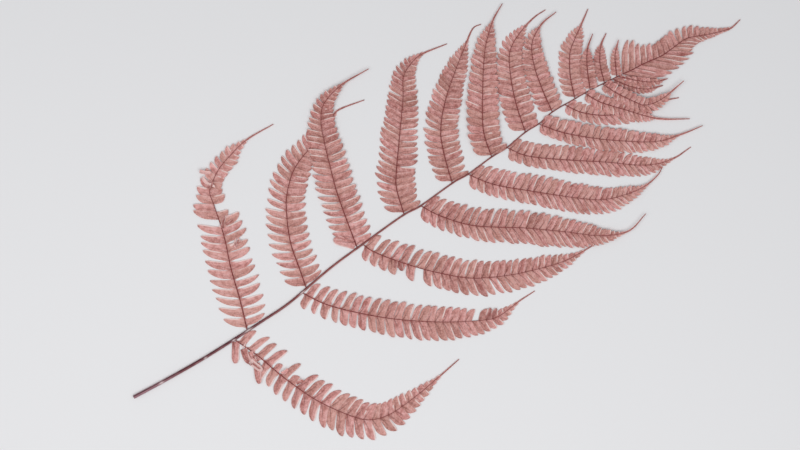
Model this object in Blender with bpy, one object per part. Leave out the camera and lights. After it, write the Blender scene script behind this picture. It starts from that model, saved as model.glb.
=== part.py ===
"""Dried fern frond lying flat: a dark stem, its leafy side stems and the lobed tip.

Run it in Blender 4.5 from the text editor or with --background --python part.py.
Sizes below are in millimetres and angles in degrees. The objects are in metres, +Z up.
"""
import bisect
import math
import random

import bpy

MM = 0.001

# Overall build of the frond, the stem's taper as rows of (share of its length, radius)
STEM_TAPER = [(0.0, 1.25), (0.2, 1.0), (0.35, 0.82), (0.6, 0.6), (0.85, 0.42), (1.0, 0.36)]
STEM_SIDES = 8
BLADE_THICKNESS = 0.6
RIB_THICKNESS = 0.9
RIB_HALF_WIDTH = 0.8
RIB_END_HALF_WIDTH = 0.3
TAIL_STEPS = 4
SEAT_GAP = 0.3
STEM_CLEARANCE = 0.45

# How a leaflet stands on its rib
LEANS = [(0.0, 80.0), (0.35, 70.0), (0.7, 62.0), (0.9, 52.0), (1.0, 40.0)]
LOWER_LEANS = [(0.0, 74.0), (0.2, 64.0), (0.4, 56.0), (0.7, 51.0), (0.9, 44.0), (1.0, 36.0)]
TIP_LEFT_LEANS = [(0.0, 58.0), (0.15, 58.0), (0.3, 66.0), (0.5, 70.0), (0.8, 56.0), (1.0, 42.0)]
TIP_RIGHT_LEANS = [(0.0, 34.0), (1.0, 38.0)]
LEAN_SPREAD = 2.0
LEAF_WINDOW = 0.07
REACH_SPREAD = 0.05
SHOULDER_AT = 0.78
SHOULDER_WIDTH = 0.42
TIP_SWEEP = 0.16
TOOTH_REACH = 3.6
EDGE_LIFT = 0.25
EDGE_TWIST = 0.12

# Shared gentle swell of the dry blades above the ground
SWELL = 0.7
SWELL_X = 31.0
SWELL_Y = 26.0
SWELL_START = 4.0
SWELL_FULL = 30.0
ROOT_RAMP = 7.0
ROOT_HEIGHT = 0.45

# Outline of a side stem: share of its leafy length, share of its greatest reach
OUTLINE = [(0.0, 0.82), (0.1, 1.0), (0.34, 1.0), (0.57, 0.88), (0.68, 0.76), (0.8, 0.6), (0.89, 0.36),
           (0.96, 0.14), (1.0, 0.06)]

# Outline on the lower side of the side stems called right, which is widest further out
LOWER_OUTLINE = [(0.0, 0.7), (0.2, 0.79), (0.4, 0.92), (0.56, 1.0), (0.68, 0.88), (0.78, 0.74), (0.88, 0.46),
                 (0.95, 0.2), (1.0, 0.06)]

# Outlines of the lobed tip on the left and right of its rib
TIP_LEFT_OUTLINE = [(0.0, 1.0), (0.05, 1.0), (0.12, 0.78), (0.2, 0.6), (0.3, 0.46), (0.4, 0.5), (0.5, 0.53),
                    (0.62, 0.4), (0.8, 0.22), (0.92, 0.1), (1.0, 0.05)]
TIP_RIGHT_OUTLINE = [(0.0, 0.9), (0.3, 0.82), (0.45, 0.7), (0.6, 0.43), (0.75, 0.2), (0.9, 0.09), (1.0, 0.05)]

# Route of the main stem from its cut end
STEM_ROUTE = [(0, 0), (20.5, 11), (43.5, 24), (64.5, 37), (84.5, 50), (103, 62.5), (129.5, 85),
              (150.5, 100.5), (177, 119.5), (189, 126), (210, 141), (220.5, 147), (235.5, 158),
              (246, 164.5), (258, 174.5), (267.5, 180.5), (276, 188), (290.5, 196.5), (301, 202.5),
              (309, 206.5), (322, 212.8)]

# Route of the tip's own rib, which goes on where the stem ends
TIP_ROUTE = [(322.3, 213), (329, 216), (336.5, 220), (348, 225), (354.5, 229.5), (363.5, 236), (371.5, 238),
             (380, 239.5), (388, 241.5), (394, 243.5), (400, 249)]

TIP_PAIRS = 16
TIP_LEAFY = 0.86
TIP_REACH = (20.0, 16.5)
TIP_LEVELS = (0.1, 0.1, 0.1)
TIP_ROOT_HEIGHT = 0.1

# Side stems: rib route, leaflet pairs, share of the route that bears them, reach on the left and
# right of the rib, and the height of the blades over the ground at the root, half way and at the end
SIDE_STEMS = {
    "pinna_left_01": {
        "route": [(74, 45), (70, 64), (64, 85), (59.5, 106), (53, 126), (50, 135), (52, 142),
                  (58, 153), (73.5, 169), (92, 180)],
        "pairs": 25, "leafy": 0.87, "reach": (16.0, 16.0), "levels": (0.0, 0.0, 0.0)},
    "pinna_left_02": {
        "route": [(113, 72.5), (109.5, 84), (103, 103.5), (100.5, 127), (102.5, 141), (107, 152.5),
                  (117, 165.5), (131, 185), (136, 190), (152, 196)],
        "pairs": 26, "leafy": 0.86, "reach": (14.0, 14.0), "levels": (0.0, 0.0, 0.0)},
    "pinna_left_03": {
        "route": [(145, 101.5), (138.5, 122), (133.5, 136.5), (129.5, 152), (126, 166.5),
                  (123.5, 182), (125.5, 193.5), (136.5, 205.5), (155, 216.5)],
        "pairs": 28, "leafy": 0.87, "reach": (13.0, 13.5), "levels": (0.0, 1.2, 1.5)},
    "pinna_left_04": {
        "route": [(177.5, 121.5), (173.5, 136.5), (173, 147), (175, 169.5), (177.5, 197),
                  (177.5, 209), (180, 216), (185, 222.5), (191.5, 227), (206.5, 233)],
        "pairs": 26, "leafy": 0.87, "reach": (13.0, 13.0), "levels": (0.0, 0.0, 0.0)},
    "pinna_left_05": {
        "route": [(209, 142.5), (204, 163), (202.5, 178), (206, 197.5), (215, 223), (218.5, 231.5),
                  (223.5, 243), (229, 246)],
        "pairs": 24, "leafy": 0.87, "reach": (11.0, 12.0), "levels": (0.0, 0.0, 0.0)},
    "pinna_left_06": {
        "route": [(235.5, 159), (230.5, 176), (230, 200), (231.5, 228), (236.5, 247.5), (243, 259.5)],
        "pairs": 23, "leafy": 0.88, "reach": (10.5, 11.0), "levels": (1.2, 1.2, 1.2)},
    "pinna_left_07": {
        "route": [(258, 175), (252, 194), (248.5, 212), (248, 227.5), (254, 239.5), (263.5, 250),
                  (271.5, 255.5)],
        "pairs": 20, "leafy": 0.83, "reach": (9.5, 11.0), "levels": (0.0, 0.0, 0.0)},
    "pinna_left_08": {
        "route": [(276, 188), (269.5, 202.5), (264, 218.5), (262.5, 233), (268.5, 245.5), (278.5, 254)],
        "pairs": 17, "leafy": 0.81, "reach": (9.0, 10.0), "levels": (1.2, 1.2, 1.2)},
    "pinna_left_09": {
        "route": [(290.5, 197.5), (288, 211), (287.5, 226), (290.5, 235.5), (296.5, 249), (299.5, 256)],
        "pairs": 16, "leafy": 0.82, "reach": (8.0, 9.5), "levels": (0.0, 0.0, 0.0)},
    "pinna_left_10": {
        "route": [(301, 202.5), (299, 216), (299, 229), (302.5, 239.5)],
        "pairs": 11, "leafy": 0.76, "reach": (5.0, 5.6), "levels": (1.3, 1.3, 1.3)},
    "pinna_left_11": {
        "route": [(310, 208), (307.5, 220), (308, 231.5), (311.5, 240)],
        "pairs": 12, "leafy": 0.78, "reach": (4.8, 5.2), "levels": (0.0, 0.0, 0.0)},
    "pinna_left_12": {
        "route": [(318, 212), (317.3, 225), (319.5, 235.5)],
        "pairs": 9, "leafy": 0.84, "reach": (3.6, 3.6), "levels": (1.2, 1.2, 1.2)},
    "pinna_right_01": {
        "route": [(66.5, 37.5), (82, 27), (99.5, 12.5), (119.5, -1.5), (139.5, -11), (154, -15),
                  (167.5, -12), (182, -2.5), (198.5, 11), (214.5, 25)],
        "pairs": 27, "leafy": 0.91, "reach": (14.5, 14.5), "levels": (0.0, 0.0, 0.0)},
    "pinna_right_02": {
        "route": [(111.5, 68), (126, 61.5), (146, 56), (172, 51.5), (202, 49.5), (228, 50.5),
                  (240, 53), (254.5, 63.5), (264.5, 70)],
        "pairs": 28, "leafy": 0.92, "reach": (12.5, 13.0), "levels": (0.0, 0.0, 0.0)},
    "pinna_right_03": {
        "route": [(151, 100.5), (159, 95.5), (177.5, 88.5), (198.5, 82.5), (222, 78.5), (245, 80),
                  (264.5, 84), (284.5, 90), (305.5, 101.5)],
        "pairs": 30, "leafy": 0.94, "reach": (13.0, 12.0), "levels": (0.0, 0.0, 0.0)},
    "pinna_right_04": {
        "route": [(189.5, 125.5), (203.5, 119), (225, 113), (258, 111.5), (284.5, 109), (307.5, 106.5),
                  (326, 109.5), (337.5, 121)],
        "pairs": 28, "leafy": 0.88, "reach": (12.5, 11.5), "levels": (0.0, 0.3, 1.8)},
    "pinna_right_05": {
        "route": [(220.5, 146.5), (238.5, 140), (264.5, 135.5), (291, 131.5), (312, 130.5), (334, 137.5),
                  (345, 146), (348.5, 152)],
        "pairs": 27, "leafy": 0.89, "reach": (11.5, 10.5), "levels": (0.0, 0.0, 1.4)},
    "pinna_right_06": {
        "route": [(246, 164.5), (260, 159), (284.5, 156.5), (311, 155), (337.5, 153), (355, 157),
                  (367.5, 165)],
        "pairs": 25, "leafy": 0.89, "reach": (9.5, 9.0), "levels": (0.0, 0.0, 0.0)},
    "pinna_right_07": {
        "route": [(267.5, 179.5), (281, 175), (301, 171), (321, 169), (344, 168.5), (361.5, 173.5),
                  (375, 179)],
        "pairs": 22, "leafy": 0.85, "reach": (9.0, 7.5), "levels": (1.2, 1.2, 1.2)},
    "pinna_right_08": {
        "route": [(284.5, 192), (296.5, 187.5), (314, 186), (334, 190), (350, 195.5), (359.5, 197.5)],
        "pairs": 18, "leafy": 0.86, "reach": (6.5, 7.4), "levels": (0.0, 0.0, 0.0)},
    "pinna_right_09": {
        "route": [(297.5, 200), (307.5, 194.5), (322, 190), (339, 185), (350, 183.3), (366.5, 183.5)],
        "pairs": 15, "leafy": 0.7, "reach": (5.5, 6.2), "levels": (1.3, 1.3, 1.3)},
    "pinna_right_10": {
        "route": [(309, 206.5), (318, 200.5), (331.5, 194), (337.5, 192.5), (348, 196.5), (362.5, 208.5)],
        "pairs": 16, "leafy": 0.84, "reach": (5.6, 5.6), "levels": (2.5, 2.5, 2.5)},
    "pinna_right_11": {
        "route": [(315.5, 210), (327.5, 205), (338, 203.2), (349, 205.5)],
        "pairs": 12, "leafy": 0.92, "reach": (2.6, 3.4), "levels": (0.0, 0.0, 0.0)},
    "pinna_right_12": {
        "route": [(319.5, 211.5), (328, 209.5), (334, 208.4), (343, 207.8), (352, 210)],
        "pairs": 10, "leafy": 0.94, "reach": (3.2, 3.4), "levels": (1.4, 1.4, 1.4)},
}

# Leaflets smaller or larger than their neighbours, as a share, by side of the rib and pair:
# broken or crumpled ones, and first ones that are crowded by the next side stem
SMALLER = {
    ("pinna_left_01", "left", 11): 0.0,
    ("pinna_left_01", "left", 14): 0.8,
    ("pinna_left_01", "left", 15): 0.75,
    ("pinna_left_01", "left", 16): 0.75,
    ("pinna_left_01", "left", 17): 0.8,
    ("pinna_left_01", "left", 18): 0.85,
    ("pinna_left_01", "right", 12): 0.55,
    ("pinna_left_01", "right", 13): 0.0,
    ("pinna_left_01", "right", 14): 0.7,
    ("pinna_left_01", "right", 15): 0.75,
    ("pinna_left_01", "right", 16): 0.75,
    ("pinna_left_01", "right", 17): 0.75,
    ("pinna_left_01", "right", 18): 0.8,
    ("pinna_right_01", "right", 1): 0.0,
    ("pinna_right_01", "right", 2): 0.35,
    ("pinna_right_01", "left", 4): 0.4,
    ("pinna_right_01", "left", 6): 0.45,
    ("pinna_right_02", "left", 20): 0.0,
    ("pinna_right_03", "right", 4): 0.5,
    ("pinna_right_03", "right", 6): 0.0,
    ("pinna_left_04", "right", 0): 1.15,
    ("pinna_left_05", "right", 0): 1.25,
    ("pinna_left_06", "right", 0): 1.2,
    ("pinna_left_10", "left", 0): 0.7,
    ("pinna_left_10", "left", 1): 0.85,
    ("pinna_left_11", "left", 0): 0.75,
    ("pinna_left_11", "left", 1): 0.85,
    ("pinna_right_12", "left", 0): 0.35,
    ("pinna_right_12", "left", 1): 0.5,
    ("pinna_right_12", "left", 2): 0.75,
    ("pinna_right_12", "right", 0): 0.6,
    ("pinna_right_12", "right", 1): 0.8,
    ("frond_tip", "right", 0): 0.85,
}

STEM_COLOUR = (0.105, 0.035, 0.036, 1.0)
BLADE_COLOUR = (0.49, 0.235, 0.21, 1.0)
TIP_COLOUR = (0.42, 0.19, 0.175, 1.0)


def interpolate(table, share):
    """Read a value from a table of (share, value) rows."""
    for (a, va), (b, vb) in zip(table, table[1:]):
        if share <= b:
            return va + (vb - va) * (share - a) / (b - a)
    return table[-1][1]


def smoothstep(value):
    """Ease from 0 to 1."""
    value = min(max(value, 0.0), 1.0)
    return value * value * (3.0 - 2.0 * value)


class Route:
    """A smooth plan curve through a few points, read by share of its length."""

    def __init__(self, points, steps=12):
        ends = [self.mirror(points[0], points[1])] + list(points) + [self.mirror(points[-1], points[-2])]
        self.points = []
        for a, b, c, d in zip(ends, ends[1:], ends[2:], ends[3:]):
            for k in range(steps):
                self.points.append(self.spline(a, b, c, d, k / steps))
        self.points.append(tuple(points[-1]))
        self.lengths = [0.0]
        for p, q in zip(self.points, self.points[1:]):
            self.lengths.append(self.lengths[-1] + math.dist(p, q))
        self.length = self.lengths[-1]

    @staticmethod
    def mirror(end, inner):
        return (2 * end[0] - inner[0], 2 * end[1] - inner[1])

    @staticmethod
    def spline(a, b, c, d, u):
        weights = (-0.5 * u + u * u - 0.5 * u ** 3, 1 - 2.5 * u * u + 1.5 * u ** 3,
                   0.5 * u + 2 * u * u - 1.5 * u ** 3, -0.5 * u * u + 0.5 * u ** 3)
        return tuple(sum(w * p[axis] for w, p in zip(weights, (a, b, c, d))) for axis in (0, 1))

    def point(self, share):
        along = min(max(share, 0.0), 1.0) * self.length
        k = min(max(bisect.bisect_right(self.lengths, along) - 1, 0), len(self.points) - 2)
        u = (along - self.lengths[k]) / (self.lengths[k + 1] - self.lengths[k])
        return tuple(p + (q - p) * u for p, q in zip(self.points[k], self.points[k + 1]))

    def heading(self, share, window=0.02):
        before = self.point(share - window)
        after = self.point(share + window)
        return math.atan2(after[1] - before[1], after[0] - before[0])

    def aside(self, share, offset):
        """Point at a distance to the left (+) or right (-) of the curve."""
        x, y = self.point(share)
        angle = self.heading(share) + math.pi / 2
        return (x + offset * math.cos(angle), y + offset * math.sin(angle))

    def nearest(self, place):
        """Distance of a place from the curve, the share of its length there and the point itself."""
        k = min(range(len(self.points)), key=lambda i: math.dist(self.points[i], place))
        best = (math.dist(self.points[k], place), self.lengths[k] / self.length, self.points[k])
        for p, q, along in zip(self.points[k - 1:k + 1], self.points[k:k + 2], self.lengths[k - 1:k + 1]):
            step = math.dist(p, q)
            u = ((place[0] - p[0]) * (q[0] - p[0]) + (place[1] - p[1]) * (q[1] - p[1])) / step ** 2
            u = min(max(u, 0.0), 1.0)
            foot = (p[0] + (q[0] - p[0]) * u, p[1] + (q[1] - p[1]) * u)
            best = min(best, (math.dist(foot, place), (along + step * u) / self.length, foot))
        return best


STEM = Route(STEM_ROUTE)


def stem_radius(share):
    """Radius of the main stem, thinning to its end."""
    return interpolate(STEM_TAPER, share)


def stem_gap(place):
    """Free distance between a place and the flank of the main stem."""
    distance, share, _ = STEM.nearest(place)
    return distance - stem_radius(share)


def swell(place):
    """Height of the shared swell, nothing beside the stem."""
    distance = STEM.nearest(place)[0]
    wave = 0.5 + 0.5 * math.sin(place[0] / SWELL_X) * math.cos(place[1] / SWELL_Y)
    return SWELL * wave * smoothstep((distance - SWELL_START) / (SWELL_FULL - SWELL_START))


def root_share(route):
    """Share of the route where the rib's end stands just clear of the stem."""
    share = 0.0
    while min(stem_gap(route.aside(share, side * RIB_HALF_WIDTH)) for side in (-1, 1)) < SEAT_GAP:
        share += 0.001
    return share


def pair_shares(start, end, pairs):
    """Places of the notches, drawing closer towards the end."""
    shares = []
    for k in range(pairs + 1):
        u = k / pairs
        shares.append(start + (end - start) * (1.25 * u - 0.25 * u * u))
    return shares


def leaflet_axis(route, share, side, reach, lean):
    """Foot and tip of a leaflet that leans forward from the rib."""
    foot = route.point(share)
    angle = route.heading(share, LEAF_WINDOW) + side * math.radians(lean)
    span = reach / math.sin(math.radians(lean))
    return foot, (foot[0] + span * math.cos(angle), foot[1] + span * math.sin(angle))


def between(a, b, u):
    """Point at a share of the way from a to b."""
    return tuple(p + (q - p) * u for p, q in zip(a, b))


def pulled_clear(foot, place):
    """Draw an outer point back to the leaflet's foot until it is clear of the main stem."""
    keep = 1.0
    while keep > 0.2 and stem_gap(between(foot, place, keep)) < STEM_CLEARANCE:
        keep -= 0.04
    return between(foot, place, keep)


def leaf_axes(name, route, start, leafy, pairs, reach, outlines, leans):
    """Notches on the rib, and the foot, tip and reach of each leaflet on both sides."""
    draw = random.Random(name)
    shares = pair_shares(start, leafy, pairs)
    sides = {}
    for side_name, side, side_reach, outline, side_leans in (("left", 1, reach[0], outlines[0], leans[0]),
                                                             ("right", -1, reach[1], outlines[1], leans[1])):
        axes = []
        for k in range(pairs):
            share = (shares[k] + shares[k + 1]) / 2
            lean = interpolate(side_leans, share / leafy) + draw.uniform(-LEAN_SPREAD, LEAN_SPREAD)
            spread = 1 + draw.uniform(-REACH_SPREAD, REACH_SPREAD)
            size = side_reach * interpolate(outline, share / leafy) * spread
            size = size * SMALLER.get((name, side_name, k), 1.0)
            foot, tip = leaflet_axis(route, share, side, size, lean)
            axes.append((foot, tip, size))
        sides[side_name] = axes
    return shares, sides


def outer_points(axes, k):
    """Near shoulder, tip and far shoulder of leaflet k, kept clear of its neighbours."""
    foot, tip, _ = axes[k]
    beside = (max(k - 1, 0), k, min(k + 1, len(axes) - 1))
    middles = [between(axes[i][0], axes[i][1], SHOULDER_AT) for i in beside]
    before = middles[0] if k > 0 else between(middles[2], middles[1], 2.0)
    after = middles[2] if k < len(axes) - 1 else between(middles[0], middles[1], 2.0)
    near = between(middles[1], before, SHOULDER_WIDTH)
    far = between(middles[1], after, SHOULDER_WIDTH)
    apex = (tip[0] + (far[0] - near[0]) * TIP_SWEEP, tip[1] + (far[1] - near[1]) * TIP_SWEEP)
    return pulled_clear(foot, near), pulled_clear(foot, apex), pulled_clear(foot, far)


def level_at(levels, share, route, root_height):
    """Height of a side stem over the swell, easing out of the main stem."""
    low, middle, high = levels
    if share < 0.5:
        body = low + (middle - low) * smoothstep(share * 2)
    else:
        body = middle + (high - middle) * smoothstep(share * 2 - 1)
    ease = smoothstep(share * route.length / ROOT_RAMP)
    return root_height + (body - root_height) * ease


def leafy_plate(name, route, start, leafy, pairs, reach, outlines, leans, levels, root_height):
    """Plan points, undersides, thicknesses and top triangles of one leafy rib."""
    shares, sides = leaf_axes(name, route, start, leafy, pairs, reach, outlines, leans)
    points = []
    bottoms = []
    heights = []
    triangles = []

    def add(place, share, lift, height):
        points.append(place)
        bottoms.append(level_at(levels, share, route, root_height) + swell(place) + lift)
        heights.append(height)
        return len(points) - 1

    rows = []
    tail = [leafy + (1.0 - leafy) * step / TAIL_STEPS for step in range(1, TAIL_STEPS + 1)]
    for share in shares + tail:
        half = RIB_HALF_WIDTH + (RIB_END_HALF_WIDTH - RIB_HALF_WIDTH) * share ** 4
        height = RIB_THICKNESS + (BLADE_THICKNESS - RIB_THICKNESS) * smoothstep((share - 0.5) * 2)
        rows.append((add(route.aside(share, half), share, 0.0, height),
                     add(route.aside(share, -half), share, 0.0, height)))
    for (left_a, right_a), (left_b, right_b) in zip(rows, rows[1:]):
        triangles.append((left_a, right_a, right_b))
        triangles.append((left_a, right_b, left_b))
    for column, side_name in ((0, "left"), (1, "right")):
        axes = sides[side_name]
        for k in range(pairs):
            size = axes[k][2]
            share = (shares[k] + shares[k + 1]) / 2
            a = rows[k][column]
            b = rows[k + 1][column]
            near, apex, far = outer_points(axes, k)
            if size < 0.9:
                continue
            if size < TOOTH_REACH:
                loop = [a, add(apex, share, EDGE_LIFT * 0.5, BLADE_THICKNESS), b]
            else:
                loop = [a, add(near, share, EDGE_LIFT * 0.5 - EDGE_TWIST, BLADE_THICKNESS),
                        add(apex, share, EDGE_LIFT, BLADE_THICKNESS),
                        add(far, share, EDGE_LIFT * 0.5 + EDGE_TWIST, BLADE_THICKNESS), b]
            if column == 0:
                loop.reverse()
            if len(loop) == 3:
                triangles.append(tuple(loop))
            else:
                triangles.extend([(loop[1], loop[2], loop[3]), (loop[0], loop[1], loop[3]),
                                  (loop[0], loop[3], loop[4])])
    return points, bottoms, heights, triangles


def slab_mesh(name, origin, points, bottoms, heights, triangles):
    """Close a sheet of triangles into a thin solid with the same split on both faces."""
    count = len(points)
    vertices = []
    for (x, y), bottom, height in zip(points, bottoms, heights):
        vertices.append((x - origin[0], y - origin[1], bottom + height))
    for (x, y), bottom in zip(points, bottoms):
        vertices.append((x - origin[0], y - origin[1], bottom))
    faces = list(triangles)
    faces += [(c + count, b + count, a + count) for a, b, c in triangles]
    directed = set()
    for a, b, c in triangles:
        directed.update([(a, b), (b, c), (c, a)])
    for a, b in sorted(directed):
        if (b, a) not in directed:
            faces += [(b, a, a + count), (b, a + count, b + count)]
    mesh = bpy.data.meshes.new(name)
    mesh.from_pydata([(x * MM, y * MM, z * MM) for x, y, z in vertices], [], faces)
    mesh.update()
    return mesh


def stem_mesh(name):
    """Tapering stem with a flat underside that lies on the ground."""
    rings = []
    turns = [math.tau * (k + 0.5) / STEM_SIDES - math.pi / 2 for k in range(STEM_SIDES)]
    steps = 44
    for step in range(steps + 1):
        share = step / steps
        radius = stem_radius(share)
        axis_height = radius * math.cos(math.pi / STEM_SIDES)
        ring = []
        for turn in turns:
            x, y = STEM.aside(share, -radius * math.cos(turn))
            ring.append((x * MM, y * MM, (axis_height + radius * math.sin(turn)) * MM))
        rings.append(ring)
    vertices = [vertex for ring in rings for vertex in ring]
    faces = []
    for step in range(steps):
        for k in range(STEM_SIDES):
            a = step * STEM_SIDES + k
            b = step * STEM_SIDES + (k + 1) % STEM_SIDES
            faces.append((b, a, a + STEM_SIDES, b + STEM_SIDES))
    faces.append(tuple(range(STEM_SIDES)))
    faces.append(tuple(reversed(range(steps * STEM_SIDES, (steps + 1) * STEM_SIDES))))
    mesh = bpy.data.meshes.new(name)
    mesh.from_pydata(vertices, [], faces)
    mesh.update()
    return mesh


def make_material(name, colour, roughness):
    """Plain Principled material."""
    material = bpy.data.materials.new(name)
    material.use_nodes = True
    shader = material.node_tree.nodes["Principled BSDF"]
    shader.inputs["Base Color"].default_value = colour
    shader.inputs["Roughness"].default_value = roughness
    shader.inputs["Metallic"].default_value = 0.0
    return material


def place(name, mesh, material, origin):
    """Put a mesh into the scene under its own name."""
    mesh.materials.append(material)
    piece = bpy.data.objects.new(name, mesh)
    piece.location = (origin[0] * MM, origin[1] * MM, 0.0)
    bpy.context.scene.collection.objects.link(piece)
    return piece


def build_stem():
    """The bare main stem."""
    material = make_material("rachis", STEM_COLOUR, 0.55)
    return place("rachis", stem_mesh("rachis"), material, (0.0, 0.0))


def build_side_stem(name, numbers):
    """One leafy side stem, its root just clear of the main stem."""
    first = STEM.nearest(numbers["route"][0])[2]
    route = Route([first] + numbers["route"][1:])
    start = root_share(route)
    origin = route.point(start)
    lower = name.startswith("pinna_right")
    outlines = (OUTLINE, LOWER_OUTLINE if lower else OUTLINE)
    leans = (LEANS, LOWER_LEANS if lower else LEANS)
    plate = leafy_plate(name, route, start, numbers["leafy"], numbers["pairs"], numbers["reach"],
                        outlines, leans, numbers["levels"], ROOT_HEIGHT)
    material = make_material(name, BLADE_COLOUR, 0.8)
    return place(name, slab_mesh(name, origin, *plate), material, origin)


def build_tip():
    """The lobed tip that carries on the line of the stem."""
    route = Route(TIP_ROUTE)
    plate = leafy_plate("frond_tip", route, 0.0, TIP_LEAFY, TIP_PAIRS, TIP_REACH,
                        (TIP_LEFT_OUTLINE, TIP_RIGHT_OUTLINE), (TIP_LEFT_LEANS, TIP_RIGHT_LEANS),
                        TIP_LEVELS, TIP_ROOT_HEIGHT)
    material = make_material("frond_tip", TIP_COLOUR, 0.8)
    origin = TIP_ROUTE[0]
    return place("frond_tip", slab_mesh("frond_tip", origin, *plate), material, origin)


def centre_on_origin(pieces):
    """Move everything so that the bounding box stands centred on the origin."""
    bpy.context.view_layer.update()
    corners = [piece.matrix_world @ vertex.co for piece in pieces for vertex in piece.data.vertices]
    low = [min(corner[axis] for corner in corners) for axis in range(3)]
    high = [max(corner[axis] for corner in corners) for axis in range(3)]
    for piece in pieces:
        piece.location.x -= (low[0] + high[0]) / 2
        piece.location.y -= (low[1] + high[1]) / 2
        piece.location.z -= low[2]


def main():
    """Clear the scene and build the frond."""
    for item in list(bpy.data.objects):
        bpy.data.objects.remove(item)
    pieces = [build_stem()]
    for name, numbers in SIDE_STEMS.items():
        pieces.append(build_side_stem(name, numbers))
    pieces.append(build_tip())
    centre_on_origin(pieces)


main()
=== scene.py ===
"""Looks of the dried fern frond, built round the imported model.

Sizes are in millimetres, angles in the tables in degrees, and places in the frond's own plan, which
starts at the cut end of the stem. Pieces are made in metres, in the model's frame.
"""
import bisect
import math
import random

import bpy
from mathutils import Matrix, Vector


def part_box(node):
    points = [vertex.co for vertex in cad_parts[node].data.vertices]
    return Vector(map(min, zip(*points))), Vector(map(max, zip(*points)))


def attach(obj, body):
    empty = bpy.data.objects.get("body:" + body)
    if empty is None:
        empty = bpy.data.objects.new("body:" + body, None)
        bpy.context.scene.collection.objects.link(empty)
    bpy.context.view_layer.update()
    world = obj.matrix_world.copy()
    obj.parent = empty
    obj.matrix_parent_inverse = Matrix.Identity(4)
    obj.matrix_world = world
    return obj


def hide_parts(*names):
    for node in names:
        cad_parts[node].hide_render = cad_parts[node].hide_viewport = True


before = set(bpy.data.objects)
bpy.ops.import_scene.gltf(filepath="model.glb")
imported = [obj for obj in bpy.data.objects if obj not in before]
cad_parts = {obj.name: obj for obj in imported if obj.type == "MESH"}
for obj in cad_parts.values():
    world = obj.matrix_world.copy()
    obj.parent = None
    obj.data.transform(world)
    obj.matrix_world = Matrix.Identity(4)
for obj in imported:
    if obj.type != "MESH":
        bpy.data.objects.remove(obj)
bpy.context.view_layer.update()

MM = 0.001

# One pixel of the photograph on the ground in metres, its size, and the cut end's place in it
PIXEL = 0.00066
PHOTO_SIZE = (800, 450)
CUT_END_PIXEL = (134.0, 397.0)

# Steps from point to point of a route, how far round a place its heading is read, as a share of its
# length, how much closer the leaflets draw towards the end of a rib, and from which angle on an edge
# is sharp
ROUTE_STEPS = 12
HEADING_WINDOW = 0.02
CLOSER = 0.25
SHARP_ANGLE = 50.0

# Main stem: its taper as rows of (share of its length, radius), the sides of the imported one, and
# the steps, slimness and unevenness of the one made here
STEM_TAPER = [(0.0, 1.25), (0.2, 1.0), (0.35, 0.82), (0.6, 0.6), (0.85, 0.42), (1.0, 0.36)]
STEM_SIDES = 8
STEM_LENGTH_STEPS = 420
STEM_ROUND_STEPS = 22
STEM_SLIMNESS = 0.94
STEM_UNEVENNESS = 0.012
STEM_WINDOW = 0.006
STEM_GROUND_GAP = 0.02

# Groove of the stem: its angle from the right flank and half its width, in radians, and its depth
# as a share of the radius. Swelling at each side stem: its length and its share of the radius
GROOVE_TURN = 2.1
GROOVE_HALF_WIDTH = 0.34
GROOVE_DEPTH = 0.24
SWELLING_LENGTH = 1.5
SWELLING = 0.1

# Pale scars of the stem: distance from the cut end, half length and angle in radians
SCARS = ((20.7, 1.5, 1.3), (54.0, 0.9, 1.0), (76.0, 1.1, 1.2), (87.5, 2.6, 1.7), (131.0, 1.8, 1.2))
SCAR_HALF_TURN = 0.7

# Ribs: how far from the stem's flank the leaflets start, the step in which that place is sought,
# radii, thinning where the midveins are strong, and height of the axis over the side stem's level
RIB_START_GAP = 0.9
RIB_START_STEP = 0.001
RIB_RADIUS = 0.35
RIB_END_RADIUS = 0.12
RIB_WIDEST = 1.15
RIB_THINNING = 0.48
RIB_TAPER = 1.05
RIB_HEIGHT = 0.42
RIB_GROUND_GAP = 0.05
RIB_SIDES = 10
RIB_STEP = 0.9
RIB_LEAST_STEPS = 12

# Knot of a rib at each leaflet: its length, its share of the radius, and how it fades along the rib
KNOT_LENGTH = 0.55
KNOT_SWELL = 0.25
KNOT_FADE = (1.3, 0.2)

# Angle between rib and leaflet, as rows of (share of the leafy length, degrees), on the left and
# right of the ribs of the side stems on either side of the main stem
LEANS = {
    "pinna_left": ([(0.0, 62.0), (0.35, 60.0), (0.7, 57.0), (0.9, 50.0), (1.0, 38.0)],
                   [(0.0, 78.0), (0.35, 75.0), (0.7, 66.0), (0.9, 52.0), (1.0, 40.0)]),
    "pinna_right": ([(0.0, 66.0), (0.35, 66.0), (0.7, 59.0), (0.9, 50.0), (1.0, 38.0)],
                    [(0.0, 58.0), (0.2, 52.0), (0.5, 47.0), (0.9, 41.0), (1.0, 34.0)]),
}
TIP_LEFT_LEANS = [(0.0, 58.0), (0.15, 58.0), (0.3, 66.0), (0.5, 70.0), (0.8, 56.0), (1.0, 42.0)]
TIP_RIGHT_LEANS = [(0.0, 34.0), (1.0, 38.0)]

# Seeded spread of the leaflets: degrees, shares of the size, and the rest in the leaflet's own terms
LEAN_SPREAD = 2.0
REACH_SPREAD = 0.05
BLUNT_SPREAD = 0.12
FILL_SPREAD = (0.93, 1.06)
APEX_SPREAD = 0.05
BOW_SPREAD = (-0.03, 0.06)
LIFT_SPREAD = (-0.15, 0.35)
CUP_SPREAD = 0.1
RIPPLE_MOST = 0.06
TONE_SPREAD = 0.2

# Leaflets that stand narrow: how many, and their share of the width
NARROW_CHANCE = 0.25
NARROW = 0.84

# Pale far edges, partly the blade's own paler margin and partly painted highlight: how strong they
# are on the leaflets that have them, how rare such leaflets are for their stem's paleness, and how
# faint the others' edges are
EDGE_SPREAD = (0.8, 1.0)
EDGE_RARITY = 1.2
EDGE_FAINT = 0.3

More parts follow.
